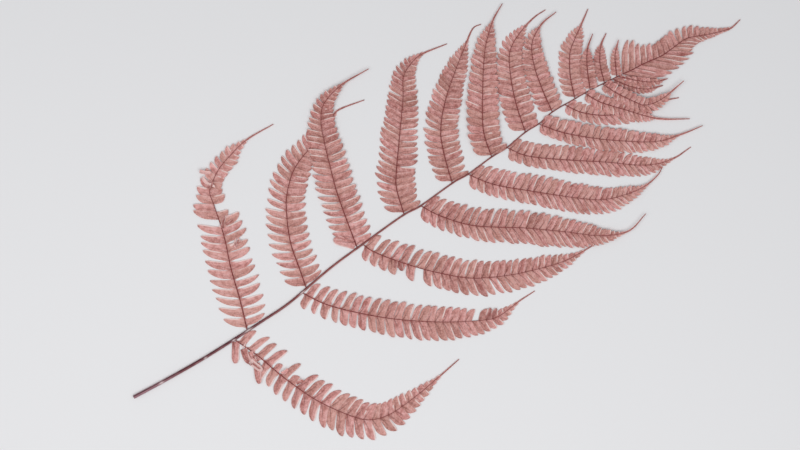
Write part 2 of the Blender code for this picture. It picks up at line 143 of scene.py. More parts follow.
# How quickly leaflets grow full and blunt along a side stem, how full they get, in pitches, and how
# much blunter they are on the lower side of the side stems called right
GROWTH = 1.25
FULL = 1.08
LOWER_BLUNTER = 0.15

# Leaflets shorter than the first are left out, and those shorter than the second get fewer steps
LEAST_SIZE = 0.35
SMALL_SIZE = 2.6

# Foot of a leaflet, in pitches back along the rib, and how far round it the rib's heading is read
ROOT_SHIFT = 0.33
LEAF_WINDOW = 0.07

# Outline of a leaflet. It starts as wide as FOOT_FILL, in pitches, over a share of its length that
# rises with its width. Rows of (pointed leaflet's value, what a blunt one adds) say where its edges
# turn in, how sharply, and where its apex lies beside its middle line
JOINED_LEAST = 0.08
JOINED_RISE = 0.55
JOINED_FILL = 0.62
FOOT_FILL = 1.05
BASAL_TURN = (0.3, 0.42)
BASAL_POWER = (0.78, -0.28)
DISTAL_TURN = (0.84, -0.12)
DISTAL_POWER = 0.5
APEX_PLACE = (0.4, -0.15)
APEX_SWEEP = 0.05

# Blade of a leaflet: thickness, share of it left at the edges, height over the side stem's level,
# tilt that lays each one on the next, and ripple in radians over its length
LEAF_THICKNESS = 0.16
LEAF_EDGE = 0.35
LEAF_GROUND_GAP = 0.04
BLADE_HEIGHT = 0.3
SHINGLE = 0.06
SHINGLE_EASE = 3.0
RIPPLE_TURN = 10.0

# Midvein: depth, half width, place across the leaflet, and its bend towards the basal edge
VEIN_DEPTH = 0.07
VEIN_HALF_WIDTH = 0.08
VEIN_PLACE = 0.42
VEIN_BEND = 0.28
VEIN_BEND_END = 0.45

# Steps of a leaflet along and across
LENGTH_SHARES = (0.0, 0.1, 0.22, 0.35, 0.48, 0.6, 0.71, 0.81, 0.89, 0.95, 0.985)
WIDTH_SHARES = (0.0, 0.1, 0.3, 0.42, 0.54, 0.76, 0.92, 1.0)
SMALL_LENGTH_SHARES = (0.0, 0.2, 0.45, 0.7, 0.88, 0.98)
SMALL_WIDTH_SHARES = (0.0, 0.2, 0.42, 0.7, 1.0)

# How leaflets are turned clear of the main stem: steps and least angle in radians, gap, and the
# points of a leaflet that are tried, in shares of its length and pitches along the rib
CLEAR_TRIES = 20
CLEAR_TURN = 0.04
CLEAR_LEAST = 0.45
CLEAR_GAP = 0.05
CLEAR_POINTS = ((1.0, 0.0), (0.6, -0.27), (0.35, -0.25))

# Narrow blade that runs on to the end of a side stem: steps, overlap with the leaflets, half widths
# and taper, thickness at its edges, crown, shade, and where it reads the leaf coordinates
TAIL_STEPS = 16
TAIL_ACROSS = (-1.0, -0.5, 0.0, 0.5, 1.0)
TAIL_LEAD = 0.1
TAIL_HALF_WIDTH = 1.0
TAIL_END_HALF_WIDTH = 0.28
TAIL_TAPER = 0.8
TAIL_EDGE = 0.09
TAIL_CROWN = 0.08
TAIL_SHADE = (0.1, 0.2)
TAIL_COORDS = ((0.35, 0.3), (0.42, 0.2))
TAIL_TINT = (0.8, 0.2, 0.0)

# Shared gentle swell of the dry blades above the ground: height, length of its waves, where it starts
# and is full beside the stem, and the mesh on which it is worked out. Height of the roots
SWELL = 0.7
SWELL_X = 31.0
SWELL_Y = 26.0
SWELL_START = 4.0
SWELL_FULL = 30.0
SWELL_MESH = 4.0
SWELL_GRID = {}
ROOT_RAMP = 7.0
ROOT_HEIGHT = 0.45
TIP_ROOT_HEIGHT = 0.1

# Outline of a side stem: share of its leafy length, share of its greatest reach
OUTLINE = [(0.0, 0.82), (0.1, 1.0), (0.34, 1.0), (0.57, 0.88), (0.68, 0.76), (0.8, 0.6), (0.89, 0.36),
           (0.96, 0.14), (1.0, 0.06)]

# Outline on the lower side of the side stems called right, which is widest further out
LOWER_OUTLINE = [(0.0, 0.7), (0.2, 0.79), (0.4, 0.92), (0.56, 1.0), (0.68, 0.88), (0.78, 0.74),
                 (0.88, 0.46), (0.95, 0.2), (1.0, 0.06)]

# Outlines of the lobed tip on the left and right of its rib
TIP_LEFT_OUTLINE = [(0.0, 1.0), (0.05, 1.0), (0.12, 0.78), (0.2, 0.6), (0.3, 0.46), (0.4, 0.5), (0.5, 0.53),
                    (0.62, 0.4), (0.8, 0.22), (0.92, 0.1), (1.0, 0.05)]
TIP_RIGHT_OUTLINE = [(0.0, 0.88), (0.15, 0.82), (0.3, 0.7), (0.45, 0.56), (0.6, 0.36),
                     (0.75, 0.2), (0.9, 0.09), (1.0, 0.05)]

STEM_ROUTE = [(0, 0), (20.5, 11), (43.5, 24), (64.5, 37), (84.5, 50), (103, 62.5), (129.5, 85),
              (150.5, 100.5), (177, 119.5), (189, 126), (210, 141), (220.5, 147), (235.5, 158),
              (246, 164.5), (258, 174.5), (267.5, 180.5), (276, 188), (290.5, 196.5), (301, 202.5),
              (309, 206.5), (322, 212.8)]
TIP_ROUTE = [(322.3, 213), (329, 216), (336.5, 220), (348, 225), (354.5, 229.5), (363.5, 236), (371.5, 238),
             (380, 239.5), (388, 241.5), (394, 243.5), (400, 249)]

# Side stems: leaflet pairs, share of the rib that bears them, reach on its left and right, and route
SIDE_STEMS = {
    "pinna_left_01": (25, 0.87, (16.0, 16.0), [
        (74, 45), (70, 64), (64, 85), (59.5, 106), (53, 126), (50, 135), (52, 142), (58, 153), (73.5, 169),
        (92, 180)]),
    "pinna_left_02": (26, 0.86, (13.8, 13.4), [
        (113, 72.5), (109.5, 84), (103, 103.5), (100.5, 127), (102.5, 141), (107, 152.5), (117, 165.5),
        (131, 185), (136, 190), (152, 196)]),
    "pinna_left_03": (28, 0.87, (13.0, 13.5), [
        (145, 101.5), (138.5, 122), (133.5, 136.5), (129.5, 152), (126, 166.5), (123.5, 182),
        (125.5, 193.5), (136.5, 205.5), (155, 216.5)]),
    "pinna_left_04": (30, 0.87, (13.0, 13.0), [
        (177.5, 121.5), (173.5, 136.5), (173, 147), (175, 169.5), (177.5, 197), (177.5, 209), (180, 216),
        (185, 222.5), (191.5, 227), (206.5, 233)]),
    "pinna_left_05": (27, 0.87, (11.0, 12.0), [
        (209, 142.5), (204, 163), (202.5, 178), (206, 197.5), (215, 223), (218.5, 231.5), (223.5, 243),
        (229, 246)]),
    "pinna_left_06": (23, 0.88, (10.8, 11.5), [
        (235.5, 159), (230.5, 176), (230, 200), (231.5, 228), (236.5, 247.5), (243, 259.5)]),
    "pinna_left_07": (20, 0.83, (10.2, 11.3), [
        (258, 175), (252, 194), (248.5, 212), (248, 227.5), (254, 239.5), (263.5, 250), (271.5, 255.5)]),
    "pinna_left_08": (17, 0.81, (8.5, 9.5), [
        (276, 188), (269.5, 202.5), (264, 218.5), (262.5, 233), (268.5, 245.5), (278.5, 254)]),
    "pinna_left_09": (16, 0.82, (8.0, 9.5), [
        (290.5, 197.5), (288, 211), (287.5, 226), (290.5, 235.5), (296.5, 249), (299.5, 256)]),
    "pinna_left_10": (11, 0.76, (5.0, 5.6), [
        (301, 202.5), (299, 216), (299, 229), (302.5, 239.5)]),
    "pinna_left_11": (12, 0.78, (4.8, 5.2), [
        (310, 208), (307.5, 220), (308, 231.5), (311.5, 240)]),
    "pinna_left_12": (9, 0.84, (3.6, 3.6), [
        (318, 212), (317.3, 225), (319.5, 235.5)]),
    "pinna_right_01": (27, 0.91, (14.5, 14.5), [
        (66.5, 37.5), (82, 27), (99.5, 12.5), (119.5, -1.5), (139.5, -11), (154, -15), (167.5, -12),
        (182, -2.5), (198.5, 11), (214.5, 25)]),
    "pinna_right_02": (28, 0.92, (12.5, 13.0), [
        (111.5, 68), (126, 61.5), (146, 56), (172, 51.5), (202, 49.5), (228, 50.5), (240, 53),
        (254.5, 63.5), (264.5, 70)]),
    "pinna_right_03": (30, 0.94, (13.0, 12.0), [
        (151, 100.5), (159, 95.5), (177.5, 88.5), (198.5, 82.5), (222, 78.5), (245, 80), (264.5, 84),
        (284.5, 90), (305.5, 101.5)]),
    "pinna_right_04": (31, 0.88, (12.5, 11.5), [
        (189.5, 125.5), (203.5, 119), (225, 113), (258, 111.5), (284.5, 109), (307.5, 106.5), (326, 109.5),
        (337.5, 121)]),
    "pinna_right_05": (30, 0.89, (11.5, 10.5), [
        (220.5, 146.5), (238.5, 140), (264.5, 135.5), (291, 131.5), (312, 130.5), (334, 137.5), (345, 146),
        (348.5, 152)]),
    "pinna_right_06": (27, 0.89, (9.8, 9.4), [
        (246, 164.5), (260, 159), (284.5, 156.5), (311, 155), (337.5, 153), (355, 157), (367.5, 165)]),
    "pinna_right_07": (22, 0.85, (9.2, 8.0), [
        (267.5, 179.5), (281, 175), (301, 171), (321, 169), (344, 168.5), (361.5, 173.5), (375, 179)]),
    "pinna_right_08": (18, 0.86, (6.5, 7.4), [
        (284.5, 192), (296.5, 187.5), (314, 186), (334, 190), (350, 195.5), (359.5, 197.5)]),
    "pinna_right_09": (15, 0.7, (5.5, 6.2), [
        (297.5, 200), (307.5, 194.5), (322, 190), (339, 185), (350, 183.3), (366.5, 183.5)]),
    "pinna_right_10": (16, 0.84, (5.6, 5.6), [
        (309, 206.5), (318, 200.5), (331.5, 194), (337.5, 192.5), (348, 196.5), (362.5, 208.5)]),
    "pinna_right_11": (12, 0.92, (2.6, 3.4), [
        (315.5, 210), (327.5, 205), (338, 203.2), (349, 205.5)]),
    "pinna_right_12": (10, 0.94, (3.2, 3.4), [
        (319.5, 211.5), (328, 209.5), (334, 208.4), (343, 207.8), (352, 210)]),
}

# Height of the blades over the ground at the root of a side stem, half way and at its end, where it
# isn't flat
LEVELS = {
    "pinna_left_03": (0.0, 1.2, 1.5), "pinna_left_06": (1.2, 1.2, 1.2),
    "pinna_left_08": (1.2, 1.2, 1.2), "pinna_left_10": (1.3, 1.3, 1.3),
    "pinna_left_12": (1.2, 1.2, 1.2), "pinna_right_04": (0.0, 0.3, 1.8),
    "pinna_right_05": (0.0, 0.0, 1.4), "pinna_right_07": (1.2, 1.2, 1.2),
    "pinna_right_09": (1.3, 1.3, 1.3), "pinna_right_10": (2.5, 2.5, 2.5),
    "pinna_right_12": (1.4, 1.4, 1.4),
}
FLAT = (0.0, 0.0, 0.0)

# How full the leaflets stand at the root of each rib, on its left and right, in pitches, how blunt
# they are at its root and end, how strongly their midveins show, how pale they are, and how pale
# their far edges are, which is partly painted highlight
LOOKS = {
    "pinna_left_01": ((0.84, 0.76), (0.0, 0.7), 0.35, 0.8, 0.9),
    "pinna_left_02": ((0.87, 0.86), (0.0, 0.9), 0.45, 0.67, 0.8),
    "pinna_left_03": ((0.92, 0.94), (0.1, 0.9), 0.5, 0.62, 0.7),
    "pinna_left_04": ((0.98, 0.98), (0.4, 1.0), 0.55, 0.55, 0.45),
    "pinna_left_05": ((1.0, 1.0), (0.45, 1.0), 0.6, 0.56, 0.4),
    "pinna_left_06": ((1.1, 1.1), (0.7, 1.0), 0.65, 0.56, 0.4),
    "pinna_left_07": ((1.1, 1.1), (0.7, 1.0), 0.65, 0.68, 0.4),
    "pinna_left_08": ((1.04, 1.02), (0.5, 1.0), 0.65, 0.6, 0.4),
    "pinna_left_09": ((1.04, 1.02), (0.5, 1.0), 0.65, 0.68, 0.4),
    "pinna_left_10": ((1.14, 1.14), (0.8, 1.0), 0.7, 0.58, 0.2),
    "pinna_left_11": ((1.14, 1.14), (0.8, 1.0), 0.7, 0.58, 0.2),
    "pinna_left_12": ((1.14, 1.14), (0.8, 1.0), 0.7, 0.58, 0.2),
    "pinna_right_01": ((0.62, 0.66), (0.45, 0.7), 0.6, 0.62, 0.5),
    "pinna_right_02": ((0.73, 0.81), (0.5, 0.8), 0.65, 0.6, 0.5),
    "pinna_right_03": ((0.77, 0.99), (0.5, 0.8), 0.75, 0.58, 0.5),
    "pinna_right_04": ((0.9, 1.12), (0.5, 0.8), 0.85, 0.58, 0.5),
    "pinna_right_05": ((1.0, 1.08), (0.5, 0.8), 0.9, 0.68, 0.45),
    "pinna_right_06": ((1.1, 1.12), (0.7, 0.8), 0.9, 0.7, 0.4),
    "pinna_right_07": ((1.1, 1.12), (0.7, 0.8), 0.9, 0.7, 0.35),
    "pinna_right_08": ((1.08, 1.1), (0.6, 0.8), 0.85, 0.75, 0.35),
    "pinna_right_09": ((1.1, 1.1), (0.6, 0.8), 0.85, 0.75, 0.35),
    "pinna_right_10": ((1.12, 1.12), (0.6, 0.8), 0.85, 0.75, 0.3),
    "pinna_right_11": ((1.14, 1.14), (0.8, 0.8), 0.8, 0.57, 0.3),
    "pinna_right_12": ((1.14, 1.14), (0.8, 0.8), 0.8, 0.57, 0.3),
    "frond_tip": ((1.16, 1.45), (0.5, 0.95), 0.7, 0.57, 0.6),
}
TIP = {"pairs": 21, "leafy": 0.9, "reach": (20.0, 16.5), "levels": (0.1, 0.1, 0.1), "start": 0.0}

# Dry blade: features per metre and detail of its noises, the streaks' scales along, across and from
# leaflet to leaflet, what each adds to the colour, and the colours
WIDE_NOISE = (45.0, 3.0)
BLOTCH_NOISE = (330.0, 4.0)
GRAIN_NOISE = (1100.0, 3.0)
STREAK_NOISE = (1.0, 2.0)
STREAK_SCALES = (2.2, 4.0, 60.0)
BLOTCH_PART = 0.6
OLIVE_PART = 0.45
TONE_PART = 0.8
WIDE_PART = 0.5
GRAIN_PART = 1.6
# Painted shade: the blade darker towards its basal side, under the neighbouring leaflet, lighter towards its
# far side
ACROSS_SHADE_PART = 0.3
LEAF_PATCHES = [(0.37, (0.66, 0.27, 0.245)), (0.5, (0.88, 0.455, 0.425)), (0.63, (1.0, 0.6, 0.58))]
LEAF_LIGHTS = [(0.3, (0.68, 0.58, 0.57)), (0.7, (0.97, 0.96, 0.96)), (1.0, (1.12, 1.22, 1.25))]
LEAF_OLIVE = (0.78, 0.48, 0.39)
LEAF_DARK = (0.2, 0.05, 0.047)
# Pale colour of the far edge, which is partly painted highlight, and of the palest leaflets
LEAF_RIM = (1.0, 0.86, 0.83)
LEAF_THROUGH = (1.0, 0.75, 0.7)
THROUGH_PART = 0.35

# Dark and pale lines of a blade as (value, slope) of a fall, or (slope, value) of a rise, over the
# leaf coordinates; number and slant of the side veins; and how dark the midvein, side veins, foot,
# basal edge line (painted shade where the neighbouring leaflet lies over it) and end are
VEIN_FALL = (1.15, 10.5)
VEIN_FADE = (1.2, 1.45)
FOOT_FALL = (1.0, 7.0)
# Painted shade along the basal edge, under the neighbouring leaflet
OVERLAP_SHADE_FALL = (1.0, 10.0)
END_RISE = (8.0, 7.0)
# Pale far edge, partly the blade's own paler margin and partly painted highlight
PALE_RISE = (12.0, 9.7)
PALE_START = (6.0, 1.0)
SIDE_VEINS = 14.0
SIDE_VEIN_SLANT = 7.0
DARK_PARTS = (1.0, 0.11, 0.2, 0.4, 0.3)
SIDE_VEIN_HEIGHT = 0.25
GRAIN_HEIGHT = 0.6

# Surfaces: roughness, specular level, and strength and distance in metres of the bump
LEAF_FINISH = (0.72, 0.25, 0.35, 0.0002)
RIB_FINISH = (0.62, 0.2, 0.4, 0.0001)
STEM_FINISH = (0.5, 0.3, 0.5, 0.0002)

# Dry rib: noise, colours, place of its top round the bar, and share of each paler or darker part; the
# paler flanks are painted highlight
RIB_NOISE = (700.0, 4.0)
RIB_DARKS = [(0.3, (0.14, 0.014, 0.014)), (0.65, (0.25, 0.03, 0.03))]
RIB_TOP = 0.25
# Painted highlight: the rib paler on its flanks than on its top
RIB_HIGHLIGHT_RISE = (5.0, 0.55)
RIB_LIGHT = (0.5, (0.38, 0.12, 0.11))
RIB_FLANK_HIGHLIGHT = (0.5, (0.45, 0.16, 0.15))
RIB_END = (0.6, (0.3, 0.07, 0.065))
RIB_KNOT = (0.6, (0.1, 0.02, 0.02))

# Dry stem: stretch and noise of its streaks, its colours near the cut end, further on and beyond,
# where these zones meet, and its pale side (painted highlight), groove (painted shade), swellings and
# scars
STREAK_STRETCH = (45.0, 12.0, 1.0)
STEM_NOISE = (1.5, 5.0)
STEM_MAUVE = [(0.3, (0.2, 0.085, 0.105)), (0.7, (0.4, 0.215, 0.25))]
STEM_MAROON = [(0.35, (0.09, 0.018, 0.025)), (0.55, (0.2, 0.062, 0.075)), (0.75, (0.42, 0.23, 0.24))]
STEM_BROWN = [(0.3, (0.15, 0.03, 0.03)), (0.5, (0.31, 0.085, 0.08)), (0.7, (0.5, 0.23, 0.21))]
MAUVE_END = (0.05, 22.0)
BROWN_START = (0.22, 7.0)
# Painted highlight: one side of the stem paler
FLANK_HIGHLIGHT_FALL = (1.0, 7.0)
STEM_FLANK_HIGHLIGHT = (0.75, (0.6, 0.36, 0.35))
# Painted shade in the groove, fading along the stem
GROOVE_SHADE_FALL = (1.0, 0.72)
GROOVE_SHADE_COLOUR = (0.05, 0.008, 0.01)
STEM_KNOT = (0.35, (0.05, 0.012, 0.012))
STEM_SCAR = (0.9, (0.72, 0.6, 0.6))

# Floor, light and camera, in metres and watts
FLOOR_HALF = 4.0
FLOOR_COLOUR = (0.8, 0.805, 0.82, 1.0)
FLOOR_ROUGHNESS = 0.9
FLOOR_SPECULAR = 0.1
WORLD_COLOUR = (0.965, 0.97, 1.0, 1.0)
WORLD_STRENGTH = 0.4
LAMP_COLOUR = (1.0, 0.99, 0.975)
LAMPS = (("left_lamp", (-0.5, -0.2, 0.95), (0.9, 0.9), 4.7),
         ("near_lamp", (0.32, -0.45, 0.95), (1.1, 0.7), 4.4))
SENSOR_WIDTH = 36.0
LENS = 85.0

# Crumpled and curled bits on the leaflets, each a step higher than the last: their common shape and
# tint, then place, heading, length, width, bow and tone
SCRAP_HEIGHT = 0.25
SCRAP_STEP = 0.1
SCRAP_SHAPE = {"fill": 1.0, "blunt": 0.8, "shift": 0.0, "apex": 0.0, "lift": 0.25, "cup": 0.3,
               "ripple": 0.1, "small": False}
SCRAP_TINT = (0.8, 0.1, 0.6)
SCRAPS = {
    "pinna_left_01": (
        ((56.5, 112.0), 62.0, 9.0, 1.3, 0.3, 1.75), ((59.0, 118.5), 12.0, 6.5, 1.0, -0.2, 1.5),
        ((58.5, 111.5), 78.0, 8.0, 1.6, -0.3, 0.1), ((60.5, 114.0), 35.0, 6.0, 1.4, 0.3, 0.3),
        ((66.2, 101.2), 72.0, 4.2, 0.9, 0.1, 1.5), ((67.2, 98.4), 112.0, 3.2, 0.8, -0.3, 1.4),
        ((67.5, 105.2), -42.0, 5.2, 0.9, -0.3, 1.3), ((63.4, 99.9), 28.0, 3.4, 1.3, 0.3, 1.9),
        ((67.3, 98.7), 58.0, 3.0, 0.8, -0.4, 1.3), ((66.8, 99.6), 62.0, 4.6, 1.4, 0.2, 0.1),
        ((45.5, 145.0), -48.0, 6.5, 2.2, 0.4, 1.6), ((48.0, 141.0), -25.0, 6.5, 1.6, -0.3, 1.8),
        ((43.5, 149.0), -8.0, 8.0, 2.4, 0.2, 1.35), ((50.0, 137.0), 70.0, 6.5, 1.2, 0.3, 0.0)),
    "pinna_right_01": (
        ((67.3, 36.5), -92.0, 14.5, 4.8, 0.0, 0.75), ((80.8, 22.5), -82.0, 14.0, 4.2, 0.0, 0.5),
        ((72.5, 32.0), -68.0, 11.0, 4.4, 0.2, 0.45), ((76.5, 30.0), -62.0, 9.0, 4.0, 0.2, 0.6),
        ((73.5, 26.0), -52.0, 6.5, 2.0, -0.3, -0.4), ((78.5, 27.0), -42.0, 5.0, 1.6, -0.3, -0.3),
        ((76.6, 23.8), -38.0, 10.5, 3.9, 0.0, 1.65), ((78.4, 22.5), -38.0, 6.5, 1.4, 0.0, 0.3),
        ((71.5, 32.6), 58.0, 4.5, 0.8, 0.4, 1.6), ((97.5, 15.5), 35.0, 5.5, 2.6, 0.3, 0.9),
        ((107.5, 9.0), 25.0, 5.0, 2.2, -0.3, 0.4)),
    "pinna_right_03": (
        ((175.5, 89.5), -75.0, 6.5, 3.2, 0.3, 0.0), ((173.0, 90.5), -100.0, 5.5, 2.4, -0.3, 0.2)),
    "pinna_right_02": (
        ((232.5, 52.0), 68.0, 7.5, 2.4, 0.2, -0.3), ((236.0, 53.0), 58.0, 6.5, 2.2, -0.2, -0.1)),
    "pinna_left_03": (
        ((146.0, 100.4), 165.0, 15.0, 5.6, -0.1, 0.7), ((134.0, 106.5), -20.0, 5.5, 1.6, 0.2, 0.9)),
}

# Leaflets that are darker than their neighbours, by side of the rib and pair
SHADES = {
    ("pinna_right_02", "left"): {21: -0.45, 22: -0.4, 23: -0.3},
    ("pinna_right_04", "left"): {8: -0.3, 14: -0.3},
    ("pinna_right_03", "right"): {13: -0.3},
    ("pinna_left_04", "right"): {18: -0.25},
    ("pinna_left_05", "left"): {15: -0.25, 16: -0.2},
}

# How much darker the leaflets grow towards the end of a side stem, and over which share of it
END_SHADES = {"pinna_left_03": -0.25, "pinna_left_04": -0.08}
END_SHADE_START = 0.4
END_SHADE_RUN = 0.3

# How much steeper than LEANS the leaflets stand, in degrees, by side of the rib
STEEPER = {("pinna_right_01", "right"): 15.0, ("pinna_right_02", "right"): 13.0,
           ("pinna_right_03", "right"): 8.0}

# Share of their reach that the leaflets keep towards the end of a side stem, by side of the rib,
# and over which share of it they lose the rest
END_REACH = {("pinna_left_03", "left"): 0.78, ("pinna_left_03", "right"): 0.92,
             ("pinna_right_01", "left"): 0.86, ("pinna_right_01", "right"): 0.82}
END_REACH_START = 0.58
END_REACH_RUN = 0.25

# Leaflets missing, smaller or larger than their neighbours, as a share, by side of the rib and pair
SIZES = {
    ("pinna_left_01", "left"): {11: 0.0, 14: 0.8, 15: 0.7, 16: 0.65, 17: 0.7, 18: 0.75, 19: 0.8, 20: 0.85},
    ("pinna_left_01", "right"): {12: 0.55, 13: 0.0, 14: 0.7, 15: 0.7, 16: 0.65, 17: 0.65, 18: 0.7, 19: 0.8},
    ("pinna_left_02", "right"): {0: 1.15},
    ("pinna_left_04", "right"): {0: 1.15},
    ("pinna_left_05", "right"): {0: 1.25},
    ("pinna_left_06", "right"): {0: 1.2},
    ("pinna_left_10", "left"): {0: 0.7, 1: 0.85},
    ("pinna_left_11", "left"): {0: 0.75, 1: 0.85},
    ("pinna_right_01", "left"): {4: 0.4, 6: 0.45},
    ("pinna_right_01", "right"): {0: 0.0, 1: 0.0, 2: 0.35},
    ("pinna_right_02", "left"): {20: 0.0},
    ("pinna_right_03", "right"): {4: 0.5, 6: 0.0},
    ("pinna_right_12", "left"): {0: 0.35, 1: 0.5, 2: 0.75},
    ("pinna_right_12", "right"): {0: 0.6, 1: 0.8},
    ("frond_tip", "right"): {0: 0.85},
}


def interpolate(table, share):
    """Read a value from a table of (share, value) rows."""
    for (a, va), (b, vb) in zip(table, table[1:]):
        if share <= b:
            return va + (vb - va) * (share - a) / (b - a)
    return table[-1][1]


def smoothstep(x):
    """Ease from 0 to 1."""
    x = min(max(x, 0.0), 1.0)
    return x * x * (3.0 - 2.0 * x)


class Route:
    """A smooth plan curve through a few points, read by share of its length."""

    def __init__(self, points):
        ends = [self.mirror(points[0], points[1])] + list(points) + [self.mirror(points[-1], points[-2])]
        self.points = []
        for a, b, c, d in zip(ends, ends[1:], ends[2:], ends[3:]):
            for k in range(ROUTE_STEPS):
                self.points.append(self.spline(a, b, c, d, k / ROUTE_STEPS))
        self.points.append(tuple(points[-1]))
        self.lengths = [0.0]
        for p, q in zip(self.points, self.points[1:]):
            self.lengths.append(self.lengths[-1] + math.dist(p, q))
        self.length = self.lengths[-1]

    @staticmethod
    def mirror(end, inner):
        """The point before the first or after the last."""
        return (2 * end[0] - inner[0], 2 * end[1] - inner[1])

    @staticmethod
    def spline(a, b, c, d, u):
        """Point between the middle two of four points, on a Catmull-Rom curve."""
        weights = (-0.5 * u + u * u - 0.5 * u ** 3, 1 - 2.5 * u * u + 1.5 * u ** 3,
                   0.5 * u + 2 * u * u - 1.5 * u ** 3, -0.5 * u * u + 0.5 * u ** 3)
        return tuple(sum(w * p[axis] for w, p in zip(weights, (a, b, c, d))) for axis in (0, 1))

    def point(self, share):
        """Point at a share of the curve's length."""
        along = min(max(share, 0.0), 1.0) * self.length
        k = min(max(bisect.bisect_right(self.lengths, along) - 1, 0), len(self.points) - 2)
        u = (along - self.lengths[k]) / (self.lengths[k + 1] - self.lengths[k])
        return tuple(p + (q - p) * u for p, q in zip(self.points[k], self.points[k + 1]))

    def heading(self, share, window=HEADING_WINDOW):
        """Angle of the curve at a share of its length."""
        before = self.point(share - window)
        after = self.point(share + window)
        return math.atan2(after[1] - before[1], after[0] - before[0])

    def aside(self, share, offset):
        """Point at a distance to the left (+) or right (-) of the curve."""
        x, y = self.point(share)
        angle = self.heading(share) + math.pi / 2
        return (x + offset * math.cos(angle), y + offset * math.sin(angle))

    def nearest(self, place):
        """Distance of a place from the curve, the share of its length there and the point itself."""
        k = min(range(len(self.points)), key=lambda i: math.dist(self.points[i], place))
        best = (math.dist(self.points[k], place), self.lengths[k] / self.length, self.points[k])
        for p, q, along in zip(self.points[k - 1:k + 1], self.points[k:k + 2], self.lengths[k - 1:k + 1]):
            step = math.dist(p, q)
            u = ((place[0] - p[0]) * (q[0] - p[0]) + (place[1] - p[1]) * (q[1] - p[1])) / step ** 2
            u = min(max(u, 0.0), 1.0)
            foot = (p[0] + (q[0] - p[0]) * u, p[1] + (q[1] - p[1]) * u)
            best = min(best, (math.dist(foot, place), (along + step * u) / self.length, foot))
        return best


STEM = Route(STEM_ROUTE)


def cut_end():
    """Where the cut end of the stem lies in the model's frame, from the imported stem's box."""
    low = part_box("rachis")[0]
    angle = STEM.heading(0.0)
    reach = STEM_TAPER[0][1] * math.cos(math.pi / STEM_SIDES)
    return (low.x / MM + reach * math.sin(angle), low.y / MM + reach * math.cos(angle))


CUT_END = cut_end()


def to_frame(x, y, z):
    """From the frond's plan in millimetres to the model's frame in metres."""
    return ((x + CUT_END[0]) * MM, (y + CUT_END[1]) * MM, z * MM)


def stem_radius(share):
    """Radius of the main stem, thinning to its end."""
    return interpolate(STEM_TAPER, share)


def stem_height(share):
    """Height of the main stem's axis."""
    return stem_radius(share) * math.cos(math.pi / STEM_SIDES)


def swell(place):
    """Height of the shared swell, nothing beside the stem."""
    distance = STEM.nearest(place)[0]
    wave = 0.5 + 0.5 * math.sin(place[0] / SWELL_X) * math.cos(place[1] / SWELL_Y)
    return SWELL * wave * smoothstep((distance - SWELL_START) / (SWELL_FULL - SWELL_START))


def level_at(levels, share, route, root_height):
    """Height of a side stem over the swell, easing out of the main stem."""
    low, middle, high = levels
    if share < 0.5:
        body = low + (middle - low) * smoothstep(share * 2)
    else:
        body = middle + (high - middle) * smoothstep(share * 2 - 1)
    ease = smoothstep(share * route.length / ROOT_RAMP)
    return root_height + (body - root_height) * ease


def pair_shares(start, leafy, pairs):
    """Places between the leaflets, drawing closer towards the end."""
    shares = []
    for k in range(pairs + 1):
        u = k / pairs
        shares.append(start + (leafy - start) * ((1.0 + CLOSER) * u - CLOSER * u * u))
    return shares


class Sheet:
    """Vertices, faces and leaf coordinates of one piece while it is being made."""

    def __init__(self):
        self.vertices = []
        self.faces = []
        self.coords = []
        self.tints = []

    def add(self, place, coord, tint):
        """Add a vertex, and say its number."""
        self.vertices.append(to_frame(*place))
        self.coords.append(coord)
        self.tints.append(tint)
        return len(self.vertices) - 1

    def shell(self, tops, unders, turned):
        """Close a top grid and an underside grid into one thin solid."""
        made = []
        rows = len(tops) - 1
        columns = len(tops[0]) - 1
        for i in range(rows):
            for j in range(columns):
                made.append((tops[i][j], tops[i][j + 1], tops[i + 1][j + 1], tops[i + 1][j]))
                made.append((unders[i + 1][j], unders[i + 1][j + 1], unders[i][j + 1], unders[i][j]))
            made.append((tops[i + 1][0], unders[i + 1][0], unders[i][0], tops[i][0]))
            made.append((tops[i][columns], unders[i][columns], unders[i + 1][columns], tops[i + 1][columns]))
        for j in range(columns):
            made.append((tops[0][j + 1], tops[0][j], unders[0][j], unders[0][j + 1]))
            made.append((tops[rows][j], tops[rows][j + 1], unders[rows][j + 1], unders[rows][j]))
        self.faces += [tuple(reversed(face)) if turned else face for face in made]

    def piece(self, name, material):
        """Make the object, with leaf coordinates as a UV map and the tint as an attribute."""
        mesh = bpy.data.meshes.new(name)
        mesh.from_pydata(self.vertices, [], self.faces)
        layer = mesh.uv_layers.new(name="leaf")
        for loop in mesh.loops:
            layer.data[loop.index].uv = self.coords[loop.vertex_index]
        tint = mesh.attributes.new("tint", "FLOAT_COLOR", "POINT")
        for k, shade in enumerate(self.tints):
            tint.data[k].color = shade
        mesh.shade_smooth()
        mesh.set_sharp_from_angle(angle=math.radians(SHARP_ANGLE))
        mesh.materials.append(material)
        made = bpy.data.objects.new(name, mesh)
        bpy.context.scene.collection.objects.link(made)
        return made


def by_bluntness(row, blunt):
    """Value of a (pointed leaflet's value, what a blunt one adds) row."""
    return row[0] + row[1] * blunt


def turned_in(s, start):
    """How far an edge of a leaflet has turned in at a share of its length, from 0 to 1."""
    return max((s - start) / (1.0 - start), 0.0) ** 2.0


def blade_edges(s, fill, apex, blunt):
    """Basal and distal edge of a leaflet at a share of its length, in pitches along the rib.

    A pointed leaflet narrows from its first third to an apex beside its distal edge. A blunt one
    keeps its width and ends round.
    """
    joined = JOINED_LEAST + JOINED_RISE * max(fill - JOINED_FILL, 0.0)
    fill = fill + (FOOT_FILL - fill) * (1.0 - smoothstep(s / joined))
    basal = 1.0 - turned_in(s, by_bluntness(BASAL_TURN, blunt))
    distal = 1.0 - turned_in(s, by_bluntness(DISTAL_TURN, blunt))
    return (apex - (apex + 0.5 * fill) * basal ** by_bluntness(BASAL_POWER, blunt),
            apex + (0.5 * fill - apex) * distal ** DISTAL_POWER)


